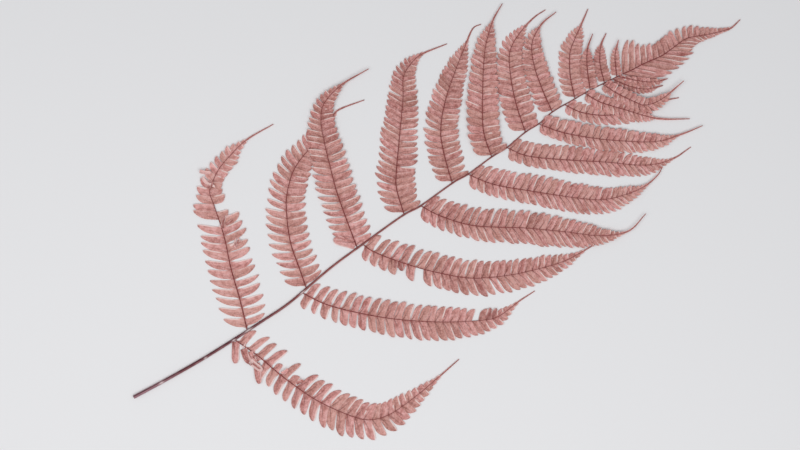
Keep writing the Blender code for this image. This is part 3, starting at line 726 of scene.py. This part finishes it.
def leaflet(sheet, foot, reach, along, pitch, shape, tint):
    """One thin leaflet: a closed shell between a top and an underside grid."""
    tops = []
    unders = []
    rows = SMALL_LENGTH_SHARES if shape["small"] else LENGTH_SHARES
    columns = SMALL_WIDTH_SHARES if shape["small"] else WIDTH_SHARES
    for s in rows:
        basal, distal = blade_edges(s, shape["fill"], shape["apex"], shape["blunt"])
        bow = shape["bow"] * (s * s - s) * math.hypot(*reach)
        vein = VEIN_PLACE - VEIN_BEND * (1.0 - smoothstep(s / VEIN_BEND_END))
        shift = shape["shift"] * (1.0 - s)
        top_row = []
        under_row = []
        for t in columns:
            w = (basal + (distal - basal) * t - shape["apex"] * s + shift) * pitch + bow
            x = foot[0] + reach[0] * s + along[0] * w
            y = foot[1] + reach[1] * s + along[1] * w
            v = 2.0 * t - 1.0
            height = shape["base"] + swell_cached(x, y) + shape["lift"] * s * s + shape["cup"] * v * v * s
            height += SHINGLE * v * smoothstep(s * SHINGLE_EASE)
            height += shape["ripple"] * math.sin(s * RIPPLE_TURN + shape["phase"]) * v * s
            height -= VEIN_DEPTH * math.exp(-((t - vein) / VEIN_HALF_WIDTH) ** 2) * (1.0 - s)
            height = max(height, LEAF_THICKNESS + LEAF_GROUND_GAP)
            edge = LEAF_THICKNESS * (LEAF_EDGE + (1.0 - LEAF_EDGE) * (1.0 - v ** 4))
            top_row.append(sheet.add((x, y, height), (s, t), tint))
            under_row.append(sheet.add((x, y, height - edge), (s, t), tint))
        tops.append(top_row)
        unders.append(under_row)
    turned = along[0] * reach[1] - along[1] * reach[0] < 0
    sheet.shell(tops, unders, turned)


def swell_cached(x, y):
    """The swell at a place, read off a coarse grid that is filled as it is needed."""
    gx, gy = math.floor(x / SWELL_MESH), math.floor(y / SWELL_MESH)
    u, v = x / SWELL_MESH - gx, y / SWELL_MESH - gy
    total = 0.0
    for kx, wx in ((gx, 1 - u), (gx + 1, u)):
        for ky, wy in ((gy, 1 - v), (gy + 1, v)):
            if (kx, ky) not in SWELL_GRID:
                SWELL_GRID[(kx, ky)] = swell((kx * SWELL_MESH, ky * SWELL_MESH))
            total += wx * wy * SWELL_GRID[(kx, ky)]
    return total


def clear_of_stem(foot, angle, forward, side, span, pitch):
    """Turn a leaflet towards the end of its rib until it lies clear of the main stem."""
    for _ in range(CLEAR_TRIES):
        free = min(STEM.nearest(place)[0] for place in (
            (foot[0] + span * u * math.cos(angle) + pitch * w * math.cos(forward),
             foot[1] + span * u * math.sin(angle) + pitch * w * math.sin(forward))
            for u, w in CLEAR_POINTS))
        needed = stem_radius(STEM.nearest(foot)[1]) + CLEAR_GAP
        if free > needed or side * (angle - forward) < CLEAR_LEAST:
            break
        angle -= side * CLEAR_TURN
    return angle


def leafy_stem(name, numbers, outlines, leans, root_height, material):
    """All leaflets of one side stem, or of the tip, as one piece."""
    draw = random.Random(name)
    free = random.Random(name + " shape")
    route = numbers["made"]
    leafy = numbers["leafy"]
    shares = pair_shares(numbers["start"], leafy, numbers["pairs"])
    fills, blunts, vein, tone, pale = LOOKS[name]
    sheet = Sheet()
    for side_name, side, at in (("left", 1, 0), ("right", -1, 1)):
        row = (name, side_name)
        for k in range(numbers["pairs"]):
            share = (shares[k] + shares[k + 1]) / 2
            along = share / leafy
            lean = interpolate(leans[at], along) + draw.uniform(-LEAN_SPREAD, LEAN_SPREAD)
            lean += free.uniform(-LEAN_SPREAD, LEAN_SPREAD) + STEEPER.get(row, 0.0)
            size = numbers["reach"][at] * interpolate(outlines[at], along)
            size *= 1 + draw.uniform(-REACH_SPREAD, REACH_SPREAD)
            size *= SIZES.get(row, {}).get(k, 1.0)
            lost = smoothstep((along - END_REACH_START) / END_REACH_RUN)
            size *= 1.0 + (END_REACH.get(row, 1.0) - 1.0) * lost
            grown = smoothstep(along * GROWTH)
            blunt = blunts[0] + (blunts[1] - blunts[0]) * grown
            blunt += free.uniform(-BLUNT_SPREAD, BLUNT_SPREAD)
            if at == 1 and name.startswith("pinna_right"):
                blunt += LOWER_BLUNTER
            blunt = min(max(blunt, 0.0), 1.0)
            fill = fills[at] + (max(FULL, fills[at]) - fills[at]) * grown
            if free.random() < NARROW_CHANCE * pale:
                fill *= NARROW
            shape = {"fill": fill * free.uniform(*FILL_SPREAD), "blunt": blunt, "shift": ROOT_SHIFT,
                     "apex": by_bluntness(APEX_PLACE, blunt) * fill + free.uniform(-APEX_SPREAD, APEX_SPREAD),
                     "bow": free.uniform(*BOW_SPREAD), "lift": free.uniform(*LIFT_SPREAD),
                     "cup": free.uniform(-CUP_SPREAD, CUP_SPREAD), "ripple": free.uniform(0.0, RIPPLE_MOST),
                     "phase": free.uniform(0.0, math.tau), "small": size < SMALL_SIZE}
            shade = SHADES.get(row, {}).get(k, 0.0)
            shade += END_SHADES.get(name, 0.0) * smoothstep((along - END_SHADE_START) / END_SHADE_RUN)
            # Strength of the pale far edge, partly painted highlight
            edge = free.uniform(*EDGE_SPREAD) if free.random() < pale / EDGE_RARITY else EDGE_FAINT * pale
            tint = (tone + shade + free.uniform(-TONE_SPREAD, TONE_SPREAD), vein, free.random(), edge)
            if size < LEAST_SIZE:
                continue
            gap = shares[k + 1] - shares[k]
            pitch = gap * route.length
            foot = route.point(share - ROOT_SHIFT * gap)
            forward = route.heading(share, LEAF_WINDOW)
            span = size / math.sin(math.radians(lean))
            angle = clear_of_stem(foot, forward + side * math.radians(lean), forward, side, span, pitch)
            heading = (math.cos(forward), math.sin(forward))
            reach = (span * math.cos(angle) + APEX_SWEEP * pitch * heading[0],
                     span * math.sin(angle) + APEX_SWEEP * pitch * heading[1])
            shape["base"] = level_at(numbers["levels"], share, route, root_height) + BLADE_HEIGHT
            leaflet(sheet, foot, reach, heading, pitch, shape, tint)
    tail(sheet, numbers, root_height, tone)
    for k, bit in enumerate(SCRAPS.get(name, ())):
        scrap(sheet, SCRAP_HEIGHT + SCRAP_STEP * k, *bit)
    return sheet.piece("leaflets_" + name.replace("pinna_", ""), material)


def scrap(sheet, above, place, turn, length, width, bow, tone):
    """A crumpled or curled bit of blade that lies on the leaflets round it."""
    angle = math.radians(turn)
    shape = dict(SCRAP_SHAPE, bow=bow, phase=turn, base=BLADE_HEIGHT + above)
    reach = (length * math.cos(angle), length * math.sin(angle))
    aside = (-math.sin(angle), math.cos(angle))
    leaflet(sheet, place, reach, aside, width, shape, (tone, *SCRAP_TINT))


def tail(sheet, numbers, root_height, tone):
    """The narrow blade that runs on past the last leaflets to the end of the rib."""
    route = numbers["made"]
    first = numbers["leafy"] - TAIL_LEAD
    (along, length), (middle, width) = TAIL_COORDS
    tops = []
    unders = []
    for k in range(TAIL_STEPS + 1):
        u = k / TAIL_STEPS
        share = first + (1.0 - first) * u
        half = TAIL_HALF_WIDTH + (TAIL_END_HALF_WIDTH - TAIL_HALF_WIDTH) * u ** TAIL_TAPER
        level = level_at(numbers["levels"], share, route, root_height)
        tint = (tone - TAIL_SHADE[0] - TAIL_SHADE[1] * u, *TAIL_TINT)
        top_row = []
        under_row = []
        for v in TAIL_ACROSS:
            x, y = route.aside(share, half * v)
            height = level + swell_cached(x, y) + BLADE_HEIGHT + TAIL_CROWN * (1.0 - v * v)
            height = max(height, 2.0 * TAIL_EDGE)
            edge = TAIL_EDGE * (2.0 - v * v)
            coord = (along + length * u, middle + width * v)
            top_row.append(sheet.add((x, y, height), coord, tint))
            under_row.append(sheet.add((x, y, height - edge), coord, tint))
        tops.append(top_row)
        unders.append(under_row)
    sheet.shell(tops, unders, False)


def skin(sheet, rings):
    """Close a row of rings into one bar."""
    count = len(rings[0])
    for near, far in zip(rings, rings[1:]):
        for s in range(count):
            sheet.faces.append((far[s], far[(s + 1) % count], near[(s + 1) % count], near[s]))
    sheet.faces.append(tuple(rings[0]))
    sheet.faces.append(tuple(reversed(rings[-1])))


def rib(name, numbers, root_height, material):
    """The rib of one side stem: a bar with a small knot at each leaflet, thinning to a thread."""
    route = numbers["made"]
    sheet = Sheet()
    vein = LOOKS[name][2]
    joints = pair_shares(numbers["start"], numbers["leafy"], numbers["pairs"])
    joints = [(a + b) / 2 for a, b in zip(joints, joints[1:])]
    steps = max(int(route.length / RIB_STEP), RIB_LEAST_STEPS)
    root_radius = RIB_RADIUS * (RIB_WIDEST - RIB_THINNING * vein)
    rings = []
    for k in range(steps + 1):
        share = k / steps
        x, y = route.point(share)
        angle = route.heading(share)
        near = min(abs(share - joint) for joint in joints) * route.length
        knot = math.exp(-(near / KNOT_LENGTH) ** 2)
        knot *= 1.0 - smoothstep(share * KNOT_FADE[0] - KNOT_FADE[1])
        radius = root_radius + (RIB_END_RADIUS - root_radius) * smoothstep(share * RIB_TAPER)
        radius *= 1.0 + KNOT_SWELL * knot
        z = level_at(numbers["levels"], share, route, root_height) + swell_cached(x, y) + RIB_HEIGHT
        z = max(z, radius + RIB_GROUND_GAP)
        ring = []
        for s in range(RIB_SIDES):
            turn = math.tau * s / RIB_SIDES
            side = radius * math.cos(turn)
            place = (x + side * math.sin(angle), y - side * math.cos(angle), z + radius * math.sin(turn))
            ring.append(sheet.add(place, (share, s / RIB_SIDES), (knot, vein, 0.0, 1.0)))
        rings.append(ring)
    skin(sheet, rings)
    return sheet.piece("rib_" + name.replace("pinna_", ""), material)


def stem(material):
    """The main stem: round, with a groove along its upper side and a swelling at each side stem."""
    sheet = Sheet()
    draw = random.Random("stem")
    rings = []
    knots = [STEM.nearest(points[0])[1] * STEM.length for *_, points in SIDE_STEMS.values()]
    for k in range(STEM_LENGTH_STEPS + 1):
        share = k / STEM_LENGTH_STEPS
        x, y = STEM.point(share)
        angle = STEM.heading(share, STEM_WINDOW)
        near = min(abs(share * STEM.length - other) for other in knots)
        knot = math.exp(-(near / SWELLING_LENGTH) ** 2)
        size = stem_radius(share) * STEM_SLIMNESS
        size *= 1.0 + draw.uniform(-STEM_UNEVENNESS, STEM_UNEVENNESS)
        ring = []
        for s in range(STEM_ROUND_STEPS):
            turn = math.tau * s / STEM_ROUND_STEPS
            groove = math.exp(-((turn - GROOVE_TURN) / GROOVE_HALF_WIDTH) ** 2)
            radius = size * (1.0 - GROOVE_DEPTH * groove + SWELLING * knot * abs(math.cos(turn)))
            side = radius * math.cos(turn)
            z = max(stem_height(share) + radius * math.sin(turn), STEM_GROUND_GAP)
            place = (x + side * math.sin(angle), y - side * math.cos(angle), z)
            tint = (groove, knot, scar(share, turn), 1.0)
            ring.append(sheet.add(place, (share, s / STEM_ROUND_STEPS), tint))
        rings.append(ring)
    skin(sheet, rings)
    return sheet.piece("stem", material)


def scar(share, turn):
    """How strongly a pale scar of the stem shows at a place on it."""
    strength = 0.0
    for along, half, middle in SCARS:
        away = ((share * STEM.length - along) / half) ** 2 + ((turn - middle) / SCAR_HALF_TURN) ** 2
        strength = max(strength, math.exp(-away))
    return strength


def node(tree, kind, **values):
    """Add a shader node and set its plain settings."""
    made = tree.nodes.new(kind)
    for key, setting in values.items():
        setattr(made, key, setting)
    return made


def feed(tree, socket, item):
    """Link an output to a socket, or set a plain value on it."""
    if hasattr(item, "links"):
        tree.links.new(item, socket)
    else:
        socket.default_value = item


def ramp(tree, source, stops):
    """Colour ramp fed by a value."""
    made = node(tree, "ShaderNodeValToRGB")
    while len(made.color_ramp.elements) < len(stops):
        made.color_ramp.elements.new(0.5)
    for element, (position, colour) in zip(made.color_ramp.elements, stops):
        element.position = position
        element.color = (*colour, 1.0)
    tree.links.new(source, made.inputs["Fac"])
    return made.outputs["Color"]


def mix(tree, factor, a, b, kind="MIX"):
    """Mix two colours by a value."""
    made = node(tree, "ShaderNodeMix", data_type="RGBA", blend_type=kind)
    for socket, item in (("Factor", factor), ("A", a), ("B", b)):
        feed(tree, made.inputs[socket], item)
    return made.outputs["Result"]


def value(tree, operation, a, b=None, clamp=False):
    """Result of a math node."""
    made = node(tree, "ShaderNodeMath", operation=operation, use_clamp=clamp)
    for socket, item in zip(made.inputs, (a, b)):
        if item is not None:
            feed(tree, socket, item)
    return made.outputs["Value"]


def times(tree, a, b, clamp=False):
    """Product of two values."""
    return value(tree, "MULTIPLY", a, b, clamp)


def plus(tree, a, b):
    """Sum of two values."""
    return value(tree, "ADD", a, b)


def minus(tree, a, b, clamp=False):
    """Difference of two values."""
    return value(tree, "SUBTRACT", a, b, clamp)


def falling(tree, start, slope, source):
    """Value that falls from a start at a slope, kept from 0 to 1."""
    return minus(tree, start, times(tree, source, slope), clamp=True)


def rising(tree, slope, taken, source):
    """Value that rises at a slope once something is taken off, kept from 0 to 1."""
    return minus(tree, times(tree, source, slope), taken, clamp=True)


def paint(tree, amount, part, base, colour):
    """Lay a plain colour over another where a part shows."""
    return mix(tree, times(tree, part, amount), base, (*colour, 1.0))


def noise(tree, scale, detail, vector):
    """Noise texture at a scale in features per metre."""
    made = node(tree, "ShaderNodeTexNoise")
    made.inputs["Scale"].default_value = scale
    made.inputs["Detail"].default_value = detail
    tree.links.new(vector, made.inputs["Vector"])
    return made.outputs["Fac"]


def new_material(name):
    """Material with its node tree, Principled shader, object coordinates, leaf coordinates and tint."""
    material = bpy.data.materials.new(name)
    material.use_nodes = True
    tree = material.node_tree
    leaf = node(tree, "ShaderNodeUVMap", uv_map="leaf")
    split = node(tree, "ShaderNodeSeparateXYZ")
    tree.links.new(leaf.outputs["UV"], split.inputs["Vector"])
    tint = node(tree, "ShaderNodeAttribute", attribute_name="tint")
    parts = node(tree, "ShaderNodeSeparateColor")
    tree.links.new(tint.outputs["Color"], parts.inputs["Color"])
    place = node(tree, "ShaderNodeTexCoord").outputs["Object"]
    uv = (split.outputs["X"], split.outputs["Y"])
    tints = (parts.outputs["Red"], parts.outputs["Green"], parts.outputs["Blue"], tint.outputs["Alpha"])
    return material, tree, tree.nodes["Principled BSDF"], place, uv, tints


def finish_surface(tree, shader, colour, height, finish):
    """Colour, gloss and bump of a surface."""
    roughness, specular, strength, distance = finish
    tree.links.new(colour, shader.inputs["Base Color"])
    shader.inputs["Roughness"].default_value = roughness
    shader.inputs["Specular IOR Level"].default_value = specular
    bump = node(tree, "ShaderNodeBump")
    bump.inputs["Strength"].default_value = strength
    bump.inputs["Distance"].default_value = distance
    tree.links.new(height, bump.inputs["Height"])
    tree.links.new(bump.outputs["Normal"], shader.inputs["Normal"])


def leaf_colour(tree, place, along, across, tone, hue):
    """Blotchy, streaked and grainy colour of a blade, with painted shade towards its basal side, and its
    grain.
    """
    wide = noise(tree, *WIDE_NOISE, place)
    blotch = noise(tree, *BLOTCH_NOISE, place)
    grain = noise(tree, *GRAIN_NOISE, place)
    lengthwise = node(tree, "ShaderNodeCombineXYZ")
    for source, scale, axis in zip((along, across, hue), STREAK_SCALES, "XYZ"):
        tree.links.new(times(tree, source, scale), lengthwise.inputs[axis])
    streak = noise(tree, *STREAK_NOISE, lengthwise.outputs["Vector"])
    patch = plus(tree, times(tree, blotch, BLOTCH_PART), times(tree, streak, 1.0 - BLOTCH_PART))
    base = paint(tree, OLIVE_PART, hue, ramp(tree, patch, LEAF_PATCHES), LEAF_OLIVE)
    light = plus(tree, times(tree, tone, TONE_PART), times(tree, wide, WIDE_PART))
    light = plus(tree, light, times(tree, minus(tree, grain, 0.5), GRAIN_PART))
    # Painted shade: darker towards the basal side, which lies under the neighbouring leaflet
    light = plus(tree, light, times(tree, minus(tree, across, 0.5), ACROSS_SHADE_PART))
    return mix(tree, 1.0, base, ramp(tree, light, LEAF_LIGHTS), "MULTIPLY"), grain


def leaf_material():
    """Dry blade: pinkish brown and thin, with a dark midvein, fine side veins, painted shade along its basal
    edge and a pale far edge that is partly painted highlight.
    """
    material, tree, shader, place, (along, across), tints = new_material("dry_blade")
    tone, strength, hue, pale_edge_and_highlight = tints
    colour, grain = leaf_colour(tree, place, along, across, tone, hue)

    bend = falling(tree, 1.0, 1.0 / VEIN_BEND_END, along)
    bent = plus(tree, across, times(tree, bend, VEIN_BEND))
    middle = value(tree, "ABSOLUTE", minus(tree, bent, VEIN_PLACE))
    vein = times(tree, falling(tree, *VEIN_FALL, middle), falling(tree, *VEIN_FADE, along))
    vein = times(tree, vein, strength)
    slant = minus(tree, times(tree, along, SIDE_VEINS), times(tree, middle, SIDE_VEIN_SLANT))
    stripe = plus(tree, value(tree, "SINE", times(tree, slant, math.tau)), 1.0)
    foot = falling(tree, *FOOT_FALL, along)
    # Painted shade along the basal edge, where the neighbouring leaflet lies over it
    basal_overlap_shade = times(tree, falling(tree, *OVERLAP_SHADE_FALL, across), times(tree, strength, strength))
    end = rising(tree, *END_RISE, along)
    for amount, part in zip(DARK_PARTS, (vein, stripe, foot, basal_overlap_shade, end)):
        colour = paint(tree, amount, part, colour, LEAF_DARK)
    # Pale far edge, partly the blade's own paler margin and partly painted highlight
    pale = times(tree, rising(tree, *PALE_RISE, across), rising(tree, *PALE_START, along))
    colour = mix(tree, times(tree, pale, pale_edge_and_highlight), colour, (*LEAF_RIM, 1.0))
    bleached = minus(tree, tone, 1.0, clamp=True)
    colour = mix(tree, bleached, colour, (*LEAF_RIM, 1.0))
    height = plus(tree, times(tree, stripe, SIDE_VEIN_HEIGHT), times(tree, grain, GRAIN_HEIGHT))
    finish_surface(tree, shader, colour, minus(tree, height, vein), LEAF_FINISH)

    through = node(tree, "ShaderNodeBsdfTranslucent")
    tree.links.new(mix(tree, THROUGH_PART, colour, (*LEAF_THROUGH, 1.0)), through.inputs["Color"])
    both = node(tree, "ShaderNodeMixShader")
    both.inputs["Fac"].default_value = THROUGH_PART
    tree.links.new(shader.outputs["BSDF"], both.inputs[1])
    tree.links.new(through.outputs["BSDF"], both.inputs[2])
    tree.links.new(both.outputs["Shader"], tree.nodes["Material Output"].inputs["Surface"])
    return material


def rib_material():
    """Dark reddish brown rib with paler flanks that are painted highlight, darkest where the leaflets join
    it.
    """
    material, tree, shader, place, (along, around), (knot, vein, _, _) = new_material("dry_rib")
    grain = noise(tree, *RIB_NOISE, place)
    aside = value(tree, "ABSOLUTE", minus(tree, around, RIB_TOP))
    # Painted highlight: the rib paler on its flanks than on its top
    flank_highlight = rising(tree, *RIB_HIGHLIGHT_RISE, aside)
    colour = ramp(tree, grain, RIB_DARKS)
    for part, (amount, shade) in ((vein, RIB_LIGHT), (flank_highlight, RIB_FLANK_HIGHLIGHT), (along, RIB_END), (knot, RIB_KNOT)):
        colour = paint(tree, amount, part, colour, shade)
    finish_surface(tree, shader, colour, grain, RIB_FINISH)
    return material


def stem_material():
    """Stem: mauve near the cut end, then maroon, then brown, with pale scars, a painted highlight along one
    side and painted shade in its groove.
    """
    material, tree, shader, _, (along, around), (groove, knot, mark, _) = new_material("dry_stem")
    stretch = node(tree, "ShaderNodeMapping")
    stretch.inputs["Scale"].default_value = STREAK_STRETCH
    tree.links.new(tree.nodes["UV Map"].outputs["UV"], stretch.inputs["Vector"])
    streak = noise(tree, *STEM_NOISE, stretch.outputs["Vector"])
    further = times(tree, minus(tree, along, BROWN_START[0]), BROWN_START[1], clamp=True)
    colour = mix(tree, further, ramp(tree, streak, STEM_MAROON), ramp(tree, streak, STEM_BROWN))
    # Painted highlight: one side of the stem paler
    colour = paint(tree, STEM_FLANK_HIGHLIGHT[0], falling(tree, *FLANK_HIGHLIGHT_FALL, around), colour, STEM_FLANK_HIGHLIGHT[1])
    young = falling(tree, 1.0, MAUVE_END[1], minus(tree, along, MAUVE_END[0]))
    colour = mix(tree, young, colour, ramp(tree, streak, STEM_MAUVE))
    # Painted shade in the groove, fading along the stem
    colour = paint(tree, falling(tree, *GROOVE_SHADE_FALL, along), groove, colour, GROOVE_SHADE_COLOUR)
    for part, (amount, shade) in ((knot, STEM_KNOT), (mark, STEM_SCAR)):
        colour = paint(tree, amount, part, colour, shade)
    finish_surface(tree, shader, colour, streak, STEM_FINISH)
    return material


def floor_material():
    """Plain pale sheet."""
    material = bpy.data.materials.new("pale_floor")
    material.use_nodes = True
    shader = material.node_tree.nodes["Principled BSDF"]
    shader.inputs["Base Color"].default_value = FLOOR_COLOUR
    shader.inputs["Roughness"].default_value = FLOOR_ROUGHNESS
    shader.inputs["Specular IOR Level"].default_value = FLOOR_SPECULAR
    return material


def add_lamp(name, place, size, power):
    """Soft rectangular lamp that looks at the middle of the frond."""
    lamp = bpy.data.lights.new(name, "AREA")
    lamp.shape = "RECTANGLE"
    lamp.size, lamp.size_y = size
    lamp.energy = power
    lamp.color = LAMP_COLOUR
    holder = bpy.data.objects.new(name, lamp)
    holder.location = place
    holder.rotation_euler = (-Vector(place)).to_track_quat("-Z", "Y").to_euler()
    bpy.context.scene.collection.objects.link(holder)


def studio():
    """Floor, soft light and the camera that looks straight down."""
    mesh = bpy.data.meshes.new("floor")
    corners = [(x * FLOOR_HALF, y * FLOOR_HALF, 0.0) for x, y in ((-1, -1), (1, -1), (1, 1), (-1, 1))]
    mesh.from_pydata(corners, [], [(0, 1, 2, 3)])
    mesh.materials.append(floor_material())
    floor = bpy.data.objects.new("floor", mesh)
    bpy.context.scene.collection.objects.link(floor)

    world = bpy.data.worlds.new("studio")
    bpy.context.scene.world = world
    world.use_nodes = True
    background = world.node_tree.nodes["Background"]
    background.inputs["Color"].default_value = WORLD_COLOUR
    background.inputs["Strength"].default_value = WORLD_STRENGTH
    for lamp in LAMPS:
        add_lamp(*lamp)

    camera = bpy.data.cameras.new("camera")
    camera.sensor_width = SENSOR_WIDTH
    camera.lens = LENS
    distance = PHOTO_SIZE[0] * PIXEL * LENS / SENSOR_WIDTH
    right = PHOTO_SIZE[0] / 2 - CUT_END_PIXEL[0]
    up = CUT_END_PIXEL[1] - PHOTO_SIZE[1] / 2
    x, y, _ = to_frame(right * PIXEL / MM, up * PIXEL / MM, 0)
    camera_object = bpy.data.objects.new("camera", camera)
    camera_object.location = (x, y, distance)
    bpy.context.scene.collection.objects.link(camera_object)
    bpy.context.scene.camera = camera_object
    bpy.context.scene.view_settings.view_transform = "Standard"
    bpy.context.scene.view_settings.look = "None"


def side_stem(name):
    """Numbers of a side stem, with its route from the main stem's axis and where its leaflets start."""
    pairs, leafy, reach, points = SIDE_STEMS[name]
    _, joined, root = STEM.nearest(points[0])
    route = Route([root] + points[1:])
    share = 0.0
    while STEM.nearest(route.point(share))[0] < stem_radius(joined) + RIB_START_GAP:
        share += RIB_START_STEP
    return {"pairs": pairs, "leafy": leafy, "reach": reach, "levels": LEVELS.get(name, FLAT),
            "start": share, "made": route}


def main():
    """Dress every node and set the scene."""
    blade = leaf_material()
    dark = rib_material()
    made = stem(stem_material())
    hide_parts("rachis")
    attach(made, "root")
    dressed = []
    for name in SIDE_STEMS:
        side = name[:-3]
        lower = LOWER_OUTLINE if side == "pinna_right" else OUTLINE
        dressed.append((name, side_stem(name), (OUTLINE, lower), LEANS[side], ROOT_HEIGHT))
    dressed.append(("frond_tip", dict(TIP, made=Route(TIP_ROUTE)), (TIP_LEFT_OUTLINE, TIP_RIGHT_OUTLINE),
                    (TIP_LEFT_LEANS, TIP_RIGHT_LEANS), TIP_ROOT_HEIGHT))
    for name, numbers, outlines, leans, root_height in dressed:
        leaves = leafy_stem(name, numbers, outlines, leans, root_height, blade)
        spine = rib(name, numbers, root_height, dark)
        for piece in (leaves, spine):
            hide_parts(name)
            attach(piece, "root")
    studio()


main()
